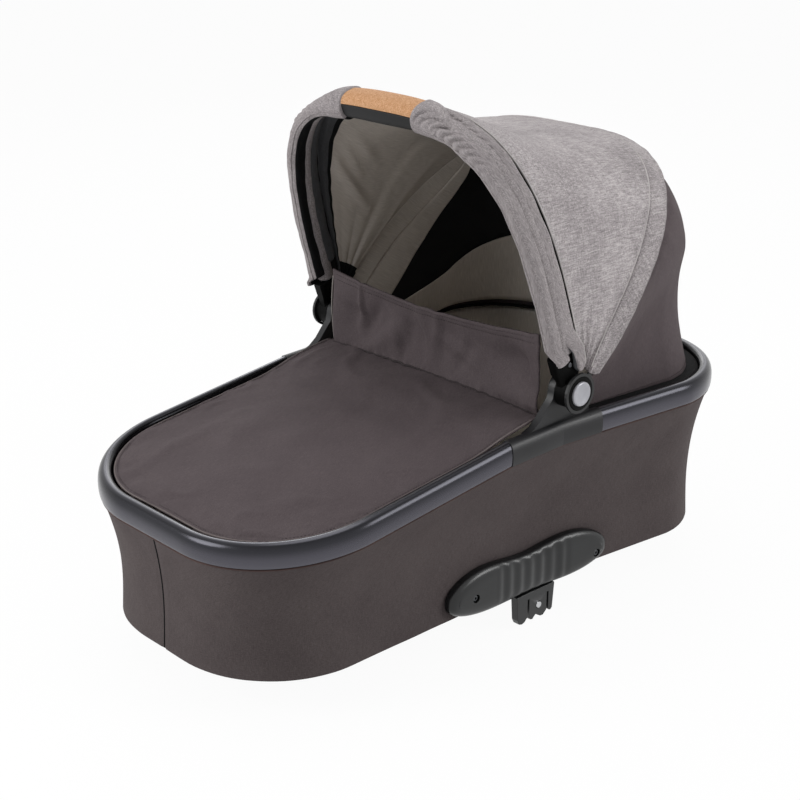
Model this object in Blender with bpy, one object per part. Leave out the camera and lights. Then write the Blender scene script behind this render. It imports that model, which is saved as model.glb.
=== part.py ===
"""Pram carrycot with a folding hood, a carry handle and two chassis plugs.

x runs from the foot end (-) to the head end (+), y to the left side, z up from the floor.
"""
import math

import bmesh
import bpy
import numpy as np
from mathutils import Matrix

# Cot outline, measured at the outside of the rim.
COT_LENGTH = 0.830
FOOT_HALF_WIDTH = 0.218
JOINT_HALF_WIDTH = 0.222
HEAD_HALF_WIDTH = 0.249
FOOT_CORNER = (0.155, 0.159)
HEAD_CORNER = (0.146, 0.152)
WIDEN_FROM_X = 0.050

# Floor of the cot, above the stand rails.
BASE_Z = 0.048
BASE_INSET_FOOT = 0.0095
BASE_INSET_SIDE = 0.033
BASE_INSET_HEAD = 0.002
FLARE = 2.8
WAIST = 0.004

# Lower edge of the rim: it climbs from the foot to the joints and stays level to the head.
RIM_FOOT_Z = BASE_Z + 0.151
RIM_JOINT_Z = BASE_Z + 0.1985
RIM_HEAD_Z = BASE_Z + 0.2076
RIM_HEIGHT = 0.030
RIM_LEDGE = 0.0195
JOINT_FOOT_X = -0.040
JOINT_HEAD_X = 0.115
JOINT_PROUD = 0.0008

# Hinge line of the handle and the hood.
PIVOT_X = 0.060
PIVOT_Z = BASE_Z + 0.272
POST_INNER_Y = JOINT_HALF_WIDTH - 0.019
POST_OUTER_Y = POST_INNER_Y + 0.0105
POST_RADIUS = 0.0210
HUB_RADIUS = 0.0215
HUB_OUTER_Y = POST_OUTER_Y + 0.025
ARM_OUTER_Y = HUB_OUTER_Y - 0.0099
GEAR_OUTER_Y = POST_OUTER_Y + 0.0058
BUTTON_RADIUS = 0.0155
BUTTON_SEAT_Y = HUB_OUTER_Y - 0.0095
BUTTON_INNER_Y = BUTTON_SEAT_Y + 0.0045
BUTTON_OUTER_Y = HUB_OUTER_Y + 0.003
PIN_RADIUS = 0.004
PIN_HEAD_RADIUS = 0.0075
PIN_INNER_Y = POST_INNER_Y - 0.0045

# Handle bow: a flattened arch that leans towards the foot end.
HANDLE_LEAN = -17.0
BOW_SQUARENESS = 3.4
HANDLE_HALF_WIDTH = POST_OUTER_Y + 0.006
HANDLE_REACH = 0.3435
SLEEVE_HALF = (0.0110, 0.0210)
GRIP_HALF = (0.0175, 0.0205)
GRIP_HALF_LENGTH = 0.0665
TUBE_RADIUS = 0.008
TUBE_CLEARANCE = 0.0010
ARM_TOP = 0.052

# Hood: arches about the hinge line. Each has its half width, its reach and how square it is.
FRONT_ARCH = (HANDLE_HALF_WIDTH + 0.0070, HANDLE_REACH + 0.0035, BOW_SQUARENESS)
SEAM_ARCH = (FRONT_ARCH[0] + 0.0015, FRONT_ARCH[1] + 0.0020, 3.3)
STRIP_ARCH = (FRONT_ARCH[0] + 0.0195, FRONT_ARCH[1] + 0.0210, 2.8)
# Angles from the vertical, at the crown and down at the hub. Down there the arches share a half width.
SEAM_ANGLES = (40.0, 30.0)
STRIP_ANGLES = (46.0, 55.0)
LOW_HALF_WIDTH = HUB_OUTER_Y + 0.0005
LOW_REACH = 0.150
HOOD_START = 0.036
HOOD_SAG = 0.054
CLOTH = 0.0025
LINING = 0.0015
STRAP_DEPTH = 0.0053
STRAP_HALF = (0.0012, 0.0050)
LINING_DEPTH = STRAP_DEPTH + STRAP_HALF[0] + 0.0018

# Cover over the foot half and its flap.
APRON_CLOTH = 0.003
APRON_DOME = 0.012
FOLD_DOME = 0.004
FOLD_X = 0.034
FOLD_LIFT = 0.016
FLAP_HEIGHT = 0.092
FLAP_CLOTH = 0.004
FLAP_HALF_WIDTH = JOINT_HALF_WIDTH - 0.036

# Plates and plugs on the sides.
PLATE_CENTRE_X = 0.020
PLATE_HALF_LENGTH = 0.138
PLATE_TOP = 0.064
PLATE_MIDDLE = 0.026
PLATE_LOW = -0.004
PLATE_BULGE = 0.014
PLUG_X = 0.0335
PLUG_THICKNESS = 0.011
SCREW_SPOTS = ((-0.077, 0.026), (0.138, 0.020))

GAP = 0.0003

for old in list(bpy.data.objects):
    bpy.data.objects.remove(old, do_unlink=True)


def paint(name, colour, roughness, metallic=0.0):
    mat = bpy.data.materials.new(name)
    mat.use_nodes = True
    shader = mat.node_tree.nodes["Principled BSDF"]
    shader.inputs["Base Color"].default_value = (*colour, 1.0)
    shader.inputs["Roughness"].default_value = roughness
    shader.inputs["Metallic"].default_value = metallic
    mat.diffuse_color = (*colour, 1.0)
    return mat


GUNMETAL = (0.075, 0.080, 0.095)
BLACK = (0.012, 0.012, 0.013)
TAUPE = (0.075, 0.066, 0.066)
MELANGE = (0.30, 0.29, 0.29)
LINING_GREY = (0.085, 0.080, 0.075)
CORK = (0.45, 0.24, 0.11)
SILVER = (0.42, 0.43, 0.45)
STEEL = (0.60, 0.60, 0.60)
OFF_WHITE = (0.72, 0.70, 0.66)


def add_object(name, mesh_data, colour, roughness, metallic=0.0, origin=(0.0, 0.0, 0.0),
               sharp=40.0):
    """Make one closed solid from a bmesh, with its origin where it turns."""
    bmesh.ops.recalc_face_normals(mesh_data, faces=mesh_data.faces)
    bmesh.ops.translate(mesh_data, verts=mesh_data.verts, vec=[-c for c in origin])
    mesh = bpy.data.meshes.new(name)
    mesh_data.to_mesh(mesh)
    mesh_data.free()
    mesh.shade_smooth()
    mesh.set_sharp_from_angle(angle=math.radians(sharp))
    mesh.materials.append(paint(name, colour, roughness, metallic))
    obj = bpy.data.objects.new(name, mesh)
    obj.location = origin
    bpy.context.scene.collection.objects.link(obj)
    return obj


def quads(bm, rows, wrap_rows=False, wrap_cols=False):
    """Skin a grid of vertices."""
    n, m = len(rows), len(rows[0])
    for i in range(n if wrap_rows else n - 1):
        for j in range(m if wrap_cols else m - 1):
            a, b = rows[i][j], rows[i][(j + 1) % m]
            c, d = rows[(i + 1) % n][(j + 1) % m], rows[(i + 1) % n][j]
            bm.faces.new((a, b, c, d))


def sheet(outer, inner):
    """Closed skin between two grids of points of the same size."""
    bm = bmesh.new()
    top = [[bm.verts.new(p) for p in row] for row in outer]
    bottom = [[bm.verts.new(p) for p in row] for row in inner]
    quads(bm, top)
    quads(bm, bottom)
    quads(bm, [top[0], bottom[0]])
    quads(bm, [top[-1], bottom[-1]])
    quads(bm, [[row[0] for row in top], [row[0] for row in bottom]])
    quads(bm, [[row[-1] for row in top], [row[-1] for row in bottom]])
    return bm


def band(outer, inner):
    """Closed skin between two grids whose rows run all the way round."""
    bm = bmesh.new()
    top = [[bm.verts.new(p) for p in row] for row in outer]
    bottom = [[bm.verts.new(p) for p in row] for row in inner]
    quads(bm, top, wrap_cols=True)
    quads(bm, bottom, wrap_cols=True)
    quads(bm, [top[0], bottom[0]], wrap_cols=True)
    quads(bm, [top[-1], bottom[-1]], wrap_cols=True)
    return bm


def loft(rings):
    """Closed solid through rings of points, with a flat cap on both ends."""
    bm = bmesh.new()
    rows = [[bm.verts.new(p) for p in ring] for ring in rings]
    quads(bm, rows, wrap_cols=True)
    bm.faces.new(rows[0])
    bm.faces.new(rows[-1])
    return bm


def slab(outline, y_inner, y_outer):
    """Solid from an outline in x and z, between two depths in y."""
    return loft([[(x, y_inner, z) for x, z in outline], [(x, y_outer, z) for x, z in outline]])


def disc(centre, radius, y_inner, y_outer, sides=28, bevel=0.0):
    """Round solid about a line along y."""
    rings = [(radius, y_inner)]
    if bevel:
        step = math.copysign(bevel, y_outer)
        rings += [(radius, y_outer - step), (radius - bevel * 0.35, y_outer - step * 0.3)]
        rings.append((radius - bevel, y_outer))
    else:
        rings.append((radius, y_outer))
    points = []
    for r, y in rings:
        turns = [2 * math.pi * k / sides for k in range(sides)]
        points.append([(centre[0] + r * math.cos(a), y, centre[1] + r * math.sin(a)) for a in turns])
    return loft(points)


def combine(obj, cutter_data, operation):
    """Boolean with a throwaway solid, applied at once."""
    bmesh.ops.recalc_face_normals(cutter_data, faces=cutter_data.faces)
    mesh = bpy.data.meshes.new("tool")
    cutter_data.to_mesh(mesh)
    cutter_data.free()
    tool = bpy.data.objects.new("tool", mesh)
    bpy.context.scene.collection.objects.link(tool)
    tool.location = (0.0, 0.0, 0.0)
    modifier = obj.modifiers.new("cut", "BOOLEAN")
    modifier.operation = operation
    modifier.solver = "EXACT"
    modifier.object = tool
    bpy.context.view_layer.update()
    result = bpy.data.meshes.new_from_object(obj.evaluated_get(bpy.context.evaluated_depsgraph_get()))
    obj.modifiers.clear()
    result.name = obj.name
    obj.data = result
    result.shade_smooth()
    result.set_sharp_from_angle(angle=math.radians(35.0))
    bpy.data.objects.remove(tool, do_unlink=True)


def soften(bm, angle, width, segments=1):
    """Bevel the edges that are sharper than an angle."""
    edges = [e for e in bm.edges if len(e.link_faces) == 2 and e.calc_face_angle(0.0) > math.radians(angle)]
    bmesh.ops.bevel(bm, geom=edges, offset=width, segments=segments, profile=0.5, affect="EDGES",
                    material=-1, clamp_overlap=True)


def half_outline(length, foot_w, mid_w, head_w, foot_corner, head_corner, stations, shift=0.0):
    """Points and inward normals of half an outline, from the middle of the foot to the middle of the head."""
    fx, fy = foot_corner
    hx, hy = head_corner
    start, end = -length / 2 + fx, length / 2 - hx
    points = [(-length / 2, 0.0, 1.0, 0.0), (-length / 2, (foot_w - fy) * 0.6, 1.0, 0.0)]
    for k in range(10):
        t = math.pi / 2 * k / 9
        nx, ny = math.cos(t) / fx, math.sin(t) / fy
        size = math.hypot(nx, ny)
        points.append((start - fx * math.cos(t), foot_w - fy + fy * math.sin(t), nx / size, -ny / size))
    for x in stations:
        knots, widths = (start, WIDEN_FROM_X, end), (foot_w, mid_w, head_w)
        y, ahead, behind = [float(np.interp(at, knots, widths)) for at in (x, x + 0.02, x - 0.02)]
        slope = (ahead - behind) / 0.04
        size = math.hypot(slope, 1.0)
        points.append((x, y, slope / size, -1.0 / size))
    for k in range(10):
        t = math.pi / 2 * (1 - k / 9)
        nx, ny = -math.cos(t) / hx, math.sin(t) / hy
        size = math.hypot(nx, ny)
        points.append((end + hx * math.cos(t), head_w - hy + hy * math.sin(t), nx / size, -ny / size))
    points += [(length / 2, (head_w - hy) * 0.6, -1.0, 0.0), (length / 2, 0.0, -1.0, 0.0)]
    return [(x + shift, y, nx, ny) for x, y, nx, ny in points]


SIDE_STATIONS = (-0.20, -0.12, JOINT_FOOT_X - GAP / 2, JOINT_FOOT_X + GAP / 2, 0.005, 0.05, 0.085,
                 JOINT_HEAD_X - GAP / 2, JOINT_HEAD_X + GAP / 2, 0.19)
FOOT_JOINT_INDEX = 2 + 10 + 2
HEAD_JOINT_INDEX = 2 + 10 + 8
RIM_PATH = half_outline(COT_LENGTH, FOOT_HALF_WIDTH, JOINT_HALF_WIDTH, HEAD_HALF_WIDTH,
                        FOOT_CORNER, HEAD_CORNER, stations=SIDE_STATIONS)
BASE_PATH = half_outline(
    COT_LENGTH - BASE_INSET_FOOT - BASE_INSET_HEAD,
    FOOT_HALF_WIDTH - BASE_INSET_SIDE, JOINT_HALF_WIDTH - BASE_INSET_SIDE, HEAD_HALF_WIDTH - BASE_INSET_SIDE,
    [c - 0.5 * BASE_INSET_SIDE for c in FOOT_CORNER], [c - 0.5 * BASE_INSET_SIDE for c in HEAD_CORNER],
    shift=(BASE_INSET_FOOT - BASE_INSET_HEAD) / 2, stations=SIDE_STATIONS)


def rim_low(x):
    """Height of the rim's lower edge."""
    return float(np.interp(x, (-COT_LENGTH / 2, JOINT_FOOT_X, JOINT_HEAD_X, COT_LENGTH / 2),
                           (RIM_FOOT_Z, RIM_JOINT_Z, RIM_JOINT_Z + 0.005, RIM_HEAD_Z)))


def closed_loop(half):
    """Join a half outline and its mirror image into one loop."""
    return list(half) + [(p[0], -p[1], *p[2:]) for p in half[-2:0:-1]]


def wall_ring(level, inset):
    """One loop of the cot's wall: level 0 is the floor, 1 is the rim."""
    ring = []
    for base, rim in zip(BASE_PATH, RIM_PATH):
        blend = level ** FLARE
        top = rim_low(rim[0]) - GAP
        waist = WAIST * math.sin(math.pi * level)
        bx, by = base[0] + base[2] * (inset[0] + waist), base[1] + base[3] * (inset[0] + waist)
        rx, ry = rim[0] + rim[2] * (inset[1] + waist), rim[1] + rim[3] * (inset[1] + waist)
        ring.append((bx + (rx - bx) * blend, by + (ry - by) * blend, BASE_Z + (top - BASE_Z) * level))
    ring[0] = (ring[0][0], 0.0, ring[0][2])
    ring[-1] = (ring[-1][0], 0.0, ring[-1][2])
    return closed_loop(ring)


def wall_y(x, z):
    """Half width of the cot's outer wall at a place."""
    base = float(np.interp(x, [p[0] for p in BASE_PATH[11:23]], [p[1] for p in BASE_PATH[11:23]]))
    rim = float(np.interp(x, [p[0] for p in RIM_PATH[11:23]], [p[1] for p in RIM_PATH[11:23]])) - 0.003
    level = max(0.0, (z - BASE_Z) / (rim_low(x) - BASE_Z))
    return base + (rim - base) * level ** FLARE - WAIST * math.sin(math.pi * level)


# Outer wall: cloth over board, turned under at the floor.
LEVELS = (0.03, 0.33, 0.68, 1.0)
outer = [[(x, y, BASE_Z + GAP) for x, y, z in wall_ring(0.0, (0.005, 0.0))]]
outer += [wall_ring(level, (0.0, 0.003)) for level in LEVELS]
inner = [[(x, y, BASE_Z + GAP) for x, y, z in wall_ring(0.0, (0.008, 0.0))]]
inner += [wall_ring(level, (0.003, 0.006)) for level in LEVELS]
add_object("side_wall", band(outer, inner), TAUPE, 0.85)

# Thin lining of the cot, between the mattress and the rim's ledge.
LINER_FLOOR = BASE_Z + 0.0085


def liner_ring(level, inset):
    ring = []
    for base, rim in zip(BASE_PATH, RIM_PATH):
        top = rim_low(rim[0]) + 0.0152
        blend = level ** 1.8
        depth = inset + WAIST * math.sin(math.pi * level)
        bx, by = base[0] + base[2] * (0.013 + depth), base[1] + base[3] * (0.013 + depth)
        rx, ry = rim[0] + rim[2] * (0.0195 + depth), rim[1] + rim[3] * (0.0195 + depth)
        z = LINER_FLOOR + (top - LINER_FLOOR) * level
        ring.append((bx + (rx - bx) * blend, by + (ry - by) * blend, z))
    ring[0] = (ring[0][0], 0.0, ring[0][2])
    ring[-1] = (ring[-1][0], 0.0, ring[-1][2])
    return closed_loop(ring)


add_object("inner_liner", band([liner_ring(v, 0.0) for v in (0.0, 0.5, 1.0)],
                               [liner_ring(v, LINING) for v in (0.0, 0.5, 1.0)]), LINING_GREY, 0.8)

# Moulded floor tray with two rows of vent slots.
tray_rings = []
for z, extra in ((BASE_Z + 2 * GAP, 0.0012), (BASE_Z + 0.0018, 0.0), (BASE_Z + 0.008, 0.0)):
    tray_rings.append([(x + nx * (0.0085 + extra), y + ny * (0.0085 + extra), z)
                       for x, y, nx, ny in closed_loop(BASE_PATH)])
for ring in tray_rings:
    half = len(BASE_PATH)
    for k in range(half, len(ring)):
        mirror = ring[2 * half - 2 - k]
        ring[k] = (mirror[0], -mirror[1], mirror[2])
tray = add_object("base_tray", loft(tray_rings), BLACK, 0.55)
for row_y in (-0.112, 0.112):
    for slot_x in (-0.18, -0.06, 0.06, 0.18):
        slot = []
        for k in range(10):
            angle = 2 * math.pi * (k + 0.5) / 10
            reach = 0.020 if math.cos(angle) > 0 else -0.020
            slot.append((slot_x + reach + 0.005 * math.cos(angle), row_y + 0.005 * math.sin(angle)))
        cutter = loft([[(x, y, BASE_Z + z) for x, y in slot] for z in (-0.01, 0.02)])
        combine(tray, cutter, "DIFFERENCE")

# Mattress: crowned on top, with sides that draw in between its edges.
MATTRESS_Z = BASE_Z + 0.0087
mattress_rings = []
for z, inset in ((0.0, 0.026), (0.006, 0.0215), (0.019, 0.0240), (0.034, 0.0215), (0.0400, 0.033),
                 (0.0435, 0.110)):
    half_ring = []
    for x, y, nx, ny in BASE_PATH:
        shrink = min(inset, 0.9 * max(y, 0.0) + 0.024) if inset > 0.03 else inset
        half_ring.append((x + nx * inset, max(y + ny * shrink, 0.0), 0.0, 0.0))
    half_ring[0] = (half_ring[0][0], 0.0, 0.0, 0.0)
    half_ring[-1] = (half_ring[-1][0], 0.0, 0.0, 0.0)
    mattress_rings.append([(x, y, MATTRESS_Z + z) for x, y, a, b in closed_loop(half_ring)])
bm = loft(mattress_rings)
bmesh.ops.remove_doubles(bm, verts=bm.verts, dist=0.00005)
add_object("mattress", bm, OFF_WHITE, 0.9)

# Two skids that the cot stands on, with rubber pads under their ends.
RAIL_Y = 0.070
RAIL_ENDS = (-0.205, 0.205)
PAD_HEIGHT = 0.006
for side, word in ((1, "left"), (-1, "right")):
    low, high = PAD_HEIGHT + GAP, BASE_Z
    outline = [
        (RAIL_ENDS[0] - 0.030, high), (RAIL_ENDS[0] - 0.022, low), (RAIL_ENDS[0] + 0.022, low),
        (RAIL_ENDS[0] + 0.034, high - 0.020), (RAIL_ENDS[0] + 0.050, high - 0.012),
        (RAIL_ENDS[1] - 0.050, high - 0.012), (RAIL_ENDS[1] - 0.034, high - 0.020),
        (RAIL_ENDS[1] - 0.022, low), (RAIL_ENDS[1] + 0.022, low), (RAIL_ENDS[1] + 0.030, high),
    ]
    bm = slab(outline, side * (RAIL_Y - 0.009), side * (RAIL_Y + 0.009))
    soften(bm, 60, 0.0012)
    add_object("stand_rail_" + word, bm, BLACK, 0.5)
    for end, end_word in ((0, "foot"), (1, "head")):
        pad = [(RAIL_ENDS[end] - 0.020, 0.0), (RAIL_ENDS[end] + 0.020, 0.0),
               (RAIL_ENDS[end] + 0.021, PAD_HEIGHT), (RAIL_ENDS[end] - 0.021, PAD_HEIGHT)]
        bm = slab(pad, side * (RAIL_Y - 0.008), side * (RAIL_Y + 0.008))
        add_object("pad_" + end_word + "_" + word, bm, BLACK, 0.9)

# Rim: one rolled metal section, with a ledge on its inside that carries the cover.
RIM_SECTION = (
    (0.0010, 0.0), (0.0, 0.004), (-0.0004, 0.011), (0.0, 0.018), (0.0015, 0.0240), (0.0050, 0.0285),
    (0.0095, RIM_HEIGHT), (0.0140, 0.0290), (0.0172, 0.0260), (0.0180, RIM_LEDGE), (0.0230, RIM_LEDGE),
    (0.0230, 0.0160), (0.0175, 0.0156), (0.0150, 0.0),
)


def rim_rings(path, grow=0.0):
    rings = []
    for x, y, nx, ny in path:
        ring = []
        for depth, height in RIM_SECTION:
            out = depth - grow if depth < 0.009 else depth + grow
            up = height + grow if 0.02 < height else height
            ring.append((x + nx * out, y + ny * out, rim_low(x) + up))
        rings.append(ring)
    return rings


foot_half = RIM_PATH[:FOOT_JOINT_INDEX + 1]
head_half = RIM_PATH[HEAD_JOINT_INDEX:]
for name, half in (("foot_rim", foot_half[::-1]), ("head_rim", head_half)):
    path = list(half) + [(x, -y, nx, -ny) for x, y, nx, ny in half[-2::-1]]
    add_object(name, loft(rim_rings(path)), GUNMETAL, 0.32, 0.85)

# Upright stays between the wall and the lining.
STAY_INDEX = {"foot": 6, "head": 26}
for side, word in ((1, "left"), (-1, "right")):
    for end_word, index in STAY_INDEX.items():
        base, rim = BASE_PATH[index], RIM_PATH[index]
        rings = []
        for level in (0.0, 0.2, 0.4, 0.6, 0.8, 1.0):
            depth = 0.0060 + 0.0045 * level + 0.6 * WAIST * math.sin(math.pi * level)
            blend = level ** FLARE
            bx, by = base[0] + base[2] * depth, base[1] + base[3] * depth
            rx, ry = rim[0] + rim[2] * depth, rim[1] + rim[3] * depth
            cx, cy = bx + (rx - bx) * blend, by + (ry - by) * blend
            z = BASE_Z + 0.0085 + (rim_low(rim[0]) - 0.0018 - BASE_Z - 0.0085) * level
            tx, ty = -base[3] * 0.007, base[2] * 0.007
            wx, wy = base[2] * 0.0015, base[3] * 0.0015
            rings.append([(cx + tx + wx, side * (cy + ty + wy), z), (cx + tx - wx, side * (cy + ty - wy), z),
                          (cx - tx - wx, side * (cy - ty - wy), z), (cx - tx + wx, side * (cy - ty + wy), z)])
        add_object("stay_" + end_word + "_" + word, loft(rings), STEEL, 0.35, 1.0)


def arc(centre, radius, start, end, count):
    return [(centre[0] + radius * math.cos(math.radians(start + (end - start) * k / (count - 1))),
             centre[1] + radius * math.sin(math.radians(start + (end - start) * k / (count - 1))))
            for k in range(count)]


# Rim joints: a sleeve of the rim's section with a post that rises to the hinge line.
PIVOT = (PIVOT_X, PIVOT_Z)
joint_half = RIM_PATH[FOOT_JOINT_INDEX + 1:HEAD_JOINT_INDEX]
for side, word in ((1, "left"), (-1, "right")):
    path = [(x, side * y, nx, side * ny) for x, y, nx, ny in joint_half]
    joint = add_object("rim_joint_" + word, loft(rim_rings(path, JOINT_PROUD)), BLACK, 0.42)
    foot_line = BASE_Z + 0.2195
    post = [(-0.012, foot_line), (-0.006, BASE_Z + 0.2285), (0.006, BASE_Z + 0.2330),
            (0.018, BASE_Z + 0.2420), (0.030, BASE_Z + 0.2560), (0.0375, BASE_Z + 0.2640)]
    post += arc(PIVOT, POST_RADIUS, 180, 0, 12)
    post += [(0.0860, BASE_Z + 0.2610), (0.0950, BASE_Z + 0.2470), (0.1060, BASE_Z + 0.2370),
             (0.1100, foot_line)]
    bm = slab(post, side * POST_INNER_Y, side * POST_OUTER_Y)
    combine(joint, bm, "UNION")
    bore = disc(PIVOT, PIN_RADIUS + GAP, side * (POST_INNER_Y - 0.013), side * (POST_OUTER_Y + 0.0165), 20)
    combine(joint, bore, "DIFFERENCE")

# Pivot pins, and the toothed discs that lock the handle.
for side, word in ((1, "left"), (-1, "right")):
    shaft = disc(PIVOT, PIN_RADIUS, side * PIN_INNER_Y, side * (BUTTON_SEAT_Y - 0.0007), 20)
    pin = add_object("pivot_pin_" + word, shaft, STEEL, 0.3, 1.0)
    head = disc(PIVOT, PIN_HEAD_RADIUS, side * (PIN_INNER_Y + 0.0005), side * (POST_INNER_Y - GAP), 20)
    combine(pin, head, "UNION")
    teeth = []
    for k in range(54):
        radius = 0.0142 if k % 3 == 0 else 0.0128
        angle = 2 * math.pi * k / 54
        teeth.append((PIVOT_X + radius * math.cos(angle), PIVOT_Z + radius * math.sin(angle)))
    gear = add_object("lock_gear_" + word, slab(teeth, side * (POST_OUTER_Y + GAP), side * GEAR_OUTER_Y),
                      STEEL, 0.4, 1.0)
    bore = disc(PIVOT, PIN_RADIUS + GAP, side * (POST_OUTER_Y - 0.0035), side * (POST_OUTER_Y + 0.0165), 20)
    combine(gear, bore, "DIFFERENCE")


def frame_at(angle):
    """Directions of an arch's plane: along its reach, and across it towards the head."""
    a = math.radians(angle)
    return np.array([math.sin(a), 0.0, math.cos(a)]), np.array([math.cos(a), 0.0, -math.sin(a)])


ORIGIN = np.array([PIVOT_X, 0.0, PIVOT_Z])


def arch(angle, half_width, reach, squareness, start, count, across=0.0):
    """Points of a flattened arch over the cot, evenly spread, from the left hinge to the right."""
    up, over = frame_at(angle)
    fine = []
    for k in range(721):
        phi = math.pi / 2 * (1 - k / 360)
        s = reach * abs(math.cos(phi)) ** (2 / squareness)
        y = math.copysign(half_width * abs(math.sin(phi)) ** (2 / squareness), phi)
        if s >= start:
            fine.append(ORIGIN + up * s + over * across + np.array([0.0, y, 0.0]))
    return spread(fine, count)


def spread(points, count):
    """Resample a polyline at even steps."""
    points = np.array(points)
    lengths = np.concatenate([[0.0], np.cumsum(np.linalg.norm(np.diff(points, axis=0), axis=1))])
    at = np.linspace(0.0, lengths[-1], count)
    return np.stack([np.interp(at, lengths, points[:, k]) for k in range(3)], axis=1)


def swept(points, across, radial_half, across_half, sides, squareness=2.0):
    """Rings of an oval section along an arch."""
    rings = []
    for k, p in enumerate(points):
        ahead, behind = points[min(k + 1, len(points) - 1)], points[max(k - 1, 0)]
        tangent = (ahead - behind) / np.linalg.norm(ahead - behind)
        radial = np.cross(tangent, across)
        ring = []
        for j in range(sides):
            t = 2 * math.pi * (j + 0.5) / sides
            c, s = math.cos(t), math.sin(t)
            r = math.copysign(abs(c) ** (2 / squareness), c) * radial_half
            a = math.copysign(abs(s) ** (2 / squareness), s) * across_half
            ring.append(p + radial * r + across * a)
        rings.append(ring)
    return rings


# Handle: steel tube, black ends with hubs, padded sleeves and a cork grip.
UP, OVER = frame_at(HANDLE_LEAN)
bow = arch(HANDLE_LEAN, HANDLE_HALF_WIDTH, HANDLE_REACH, BOW_SQUARENESS, 0.040, 241)
tube_points = bow[::8]
HANDLE_ORIGIN = tuple(ORIGIN)
add_object("handle_tube", loft(swept(tube_points, OVER, TUBE_RADIUS, TUBE_RADIUS, 8)), STEEL, 0.35, 1.0,
           origin=HANDLE_ORIGIN)

reach_of = (bow - ORIGIN) @ UP
sleeve_all = [p for p, s in zip(bow, reach_of) if s > ARM_TOP + 0.001]
for side, word in ((1, "left"), (-1, "right")):
    run = [p for p in sleeve_all if side * p[1] > GRIP_HALF_LENGTH + 0.0008]
    run = spread(run, 15)
    outer, inner = [], []
    shell = swept(run, OVER, 1.0, 1.0, 10, 2.6)
    bore = swept(run, OVER, TUBE_RADIUS + TUBE_CLEARANCE, TUBE_RADIUS + TUBE_CLEARANCE, 10)
    for k, (p, ring) in enumerate(zip(run, shell)):
        t = k / (len(run) - 1)
        if side < 0:
            t = 1 - t
        near_grip = math.exp(-((t - 0.06) / 0.07) ** 2)
        swell = 1.0 + 0.030 * math.sin(26.0 * t) * (1.0 - t) + 0.22 * near_grip
        tangent = run[min(k + 1, len(run) - 1)] - run[max(k - 1, 0)]
        radial = np.cross(tangent / np.linalg.norm(tangent), OVER)
        ring_out = []
        for q in ring:
            local = q - p
            r, a = float(local @ radial), float(local @ OVER)
            ring_out.append(p + radial * r * SLEEVE_HALF[0] * swell
                            + OVER * a * SLEEVE_HALF[1] * (0.5 + 0.5 * swell))
        outer.append(ring_out)
    add_object("sleeve_" + word, band(outer, bore), MELANGE, 0.9, origin=HANDLE_ORIGIN, sharp=60.0)

# Grip: the cork wraps the top and both sides, a black shell closes the underside.
GRIP_STEPS = 11
grip_run = spread([p for p in bow if abs(p[1]) < GRIP_HALF_LENGTH], GRIP_STEPS)


def grip_part(start, end, count):
    rings = []
    for k, p in enumerate(grip_run):
        tangent = grip_run[min(k + 1, GRIP_STEPS - 1)] - grip_run[max(k - 1, 0)]
        radial = np.cross(tangent / np.linalg.norm(tangent), OVER)
        if radial[2] < 0:
            radial = -radial
        ring = []
        bulge = 1.0 - 0.06 * (p[1] / GRIP_HALF_LENGTH) ** 2
        for j in range(count):
            t = math.radians(start + (end - start) * j / (count - 1))
            c, s = math.cos(t), math.sin(t)
            ring.append(p + radial * math.copysign(abs(s) ** 0.8, s) * GRIP_HALF[0] * bulge
                        + OVER * math.copysign(abs(c) ** 0.8, c) * GRIP_HALF[1] * bulge)
        for j in range(count):
            t = math.radians(end + (start - end) * j / (count - 1))
            ring.append(p + (radial * math.sin(t) + OVER * math.cos(t)) * (TUBE_RADIUS + TUBE_CLEARANCE))
        rings.append(ring)
    return loft(rings)


add_object("grip_cork", grip_part(-14.0, 194.0, 11), CORK, 0.8, origin=HANDLE_ORIGIN)
add_object("grip_underside", grip_part(197.5, 342.5, 7), BLACK, 0.5, origin=HANDLE_ORIGIN)

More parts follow.
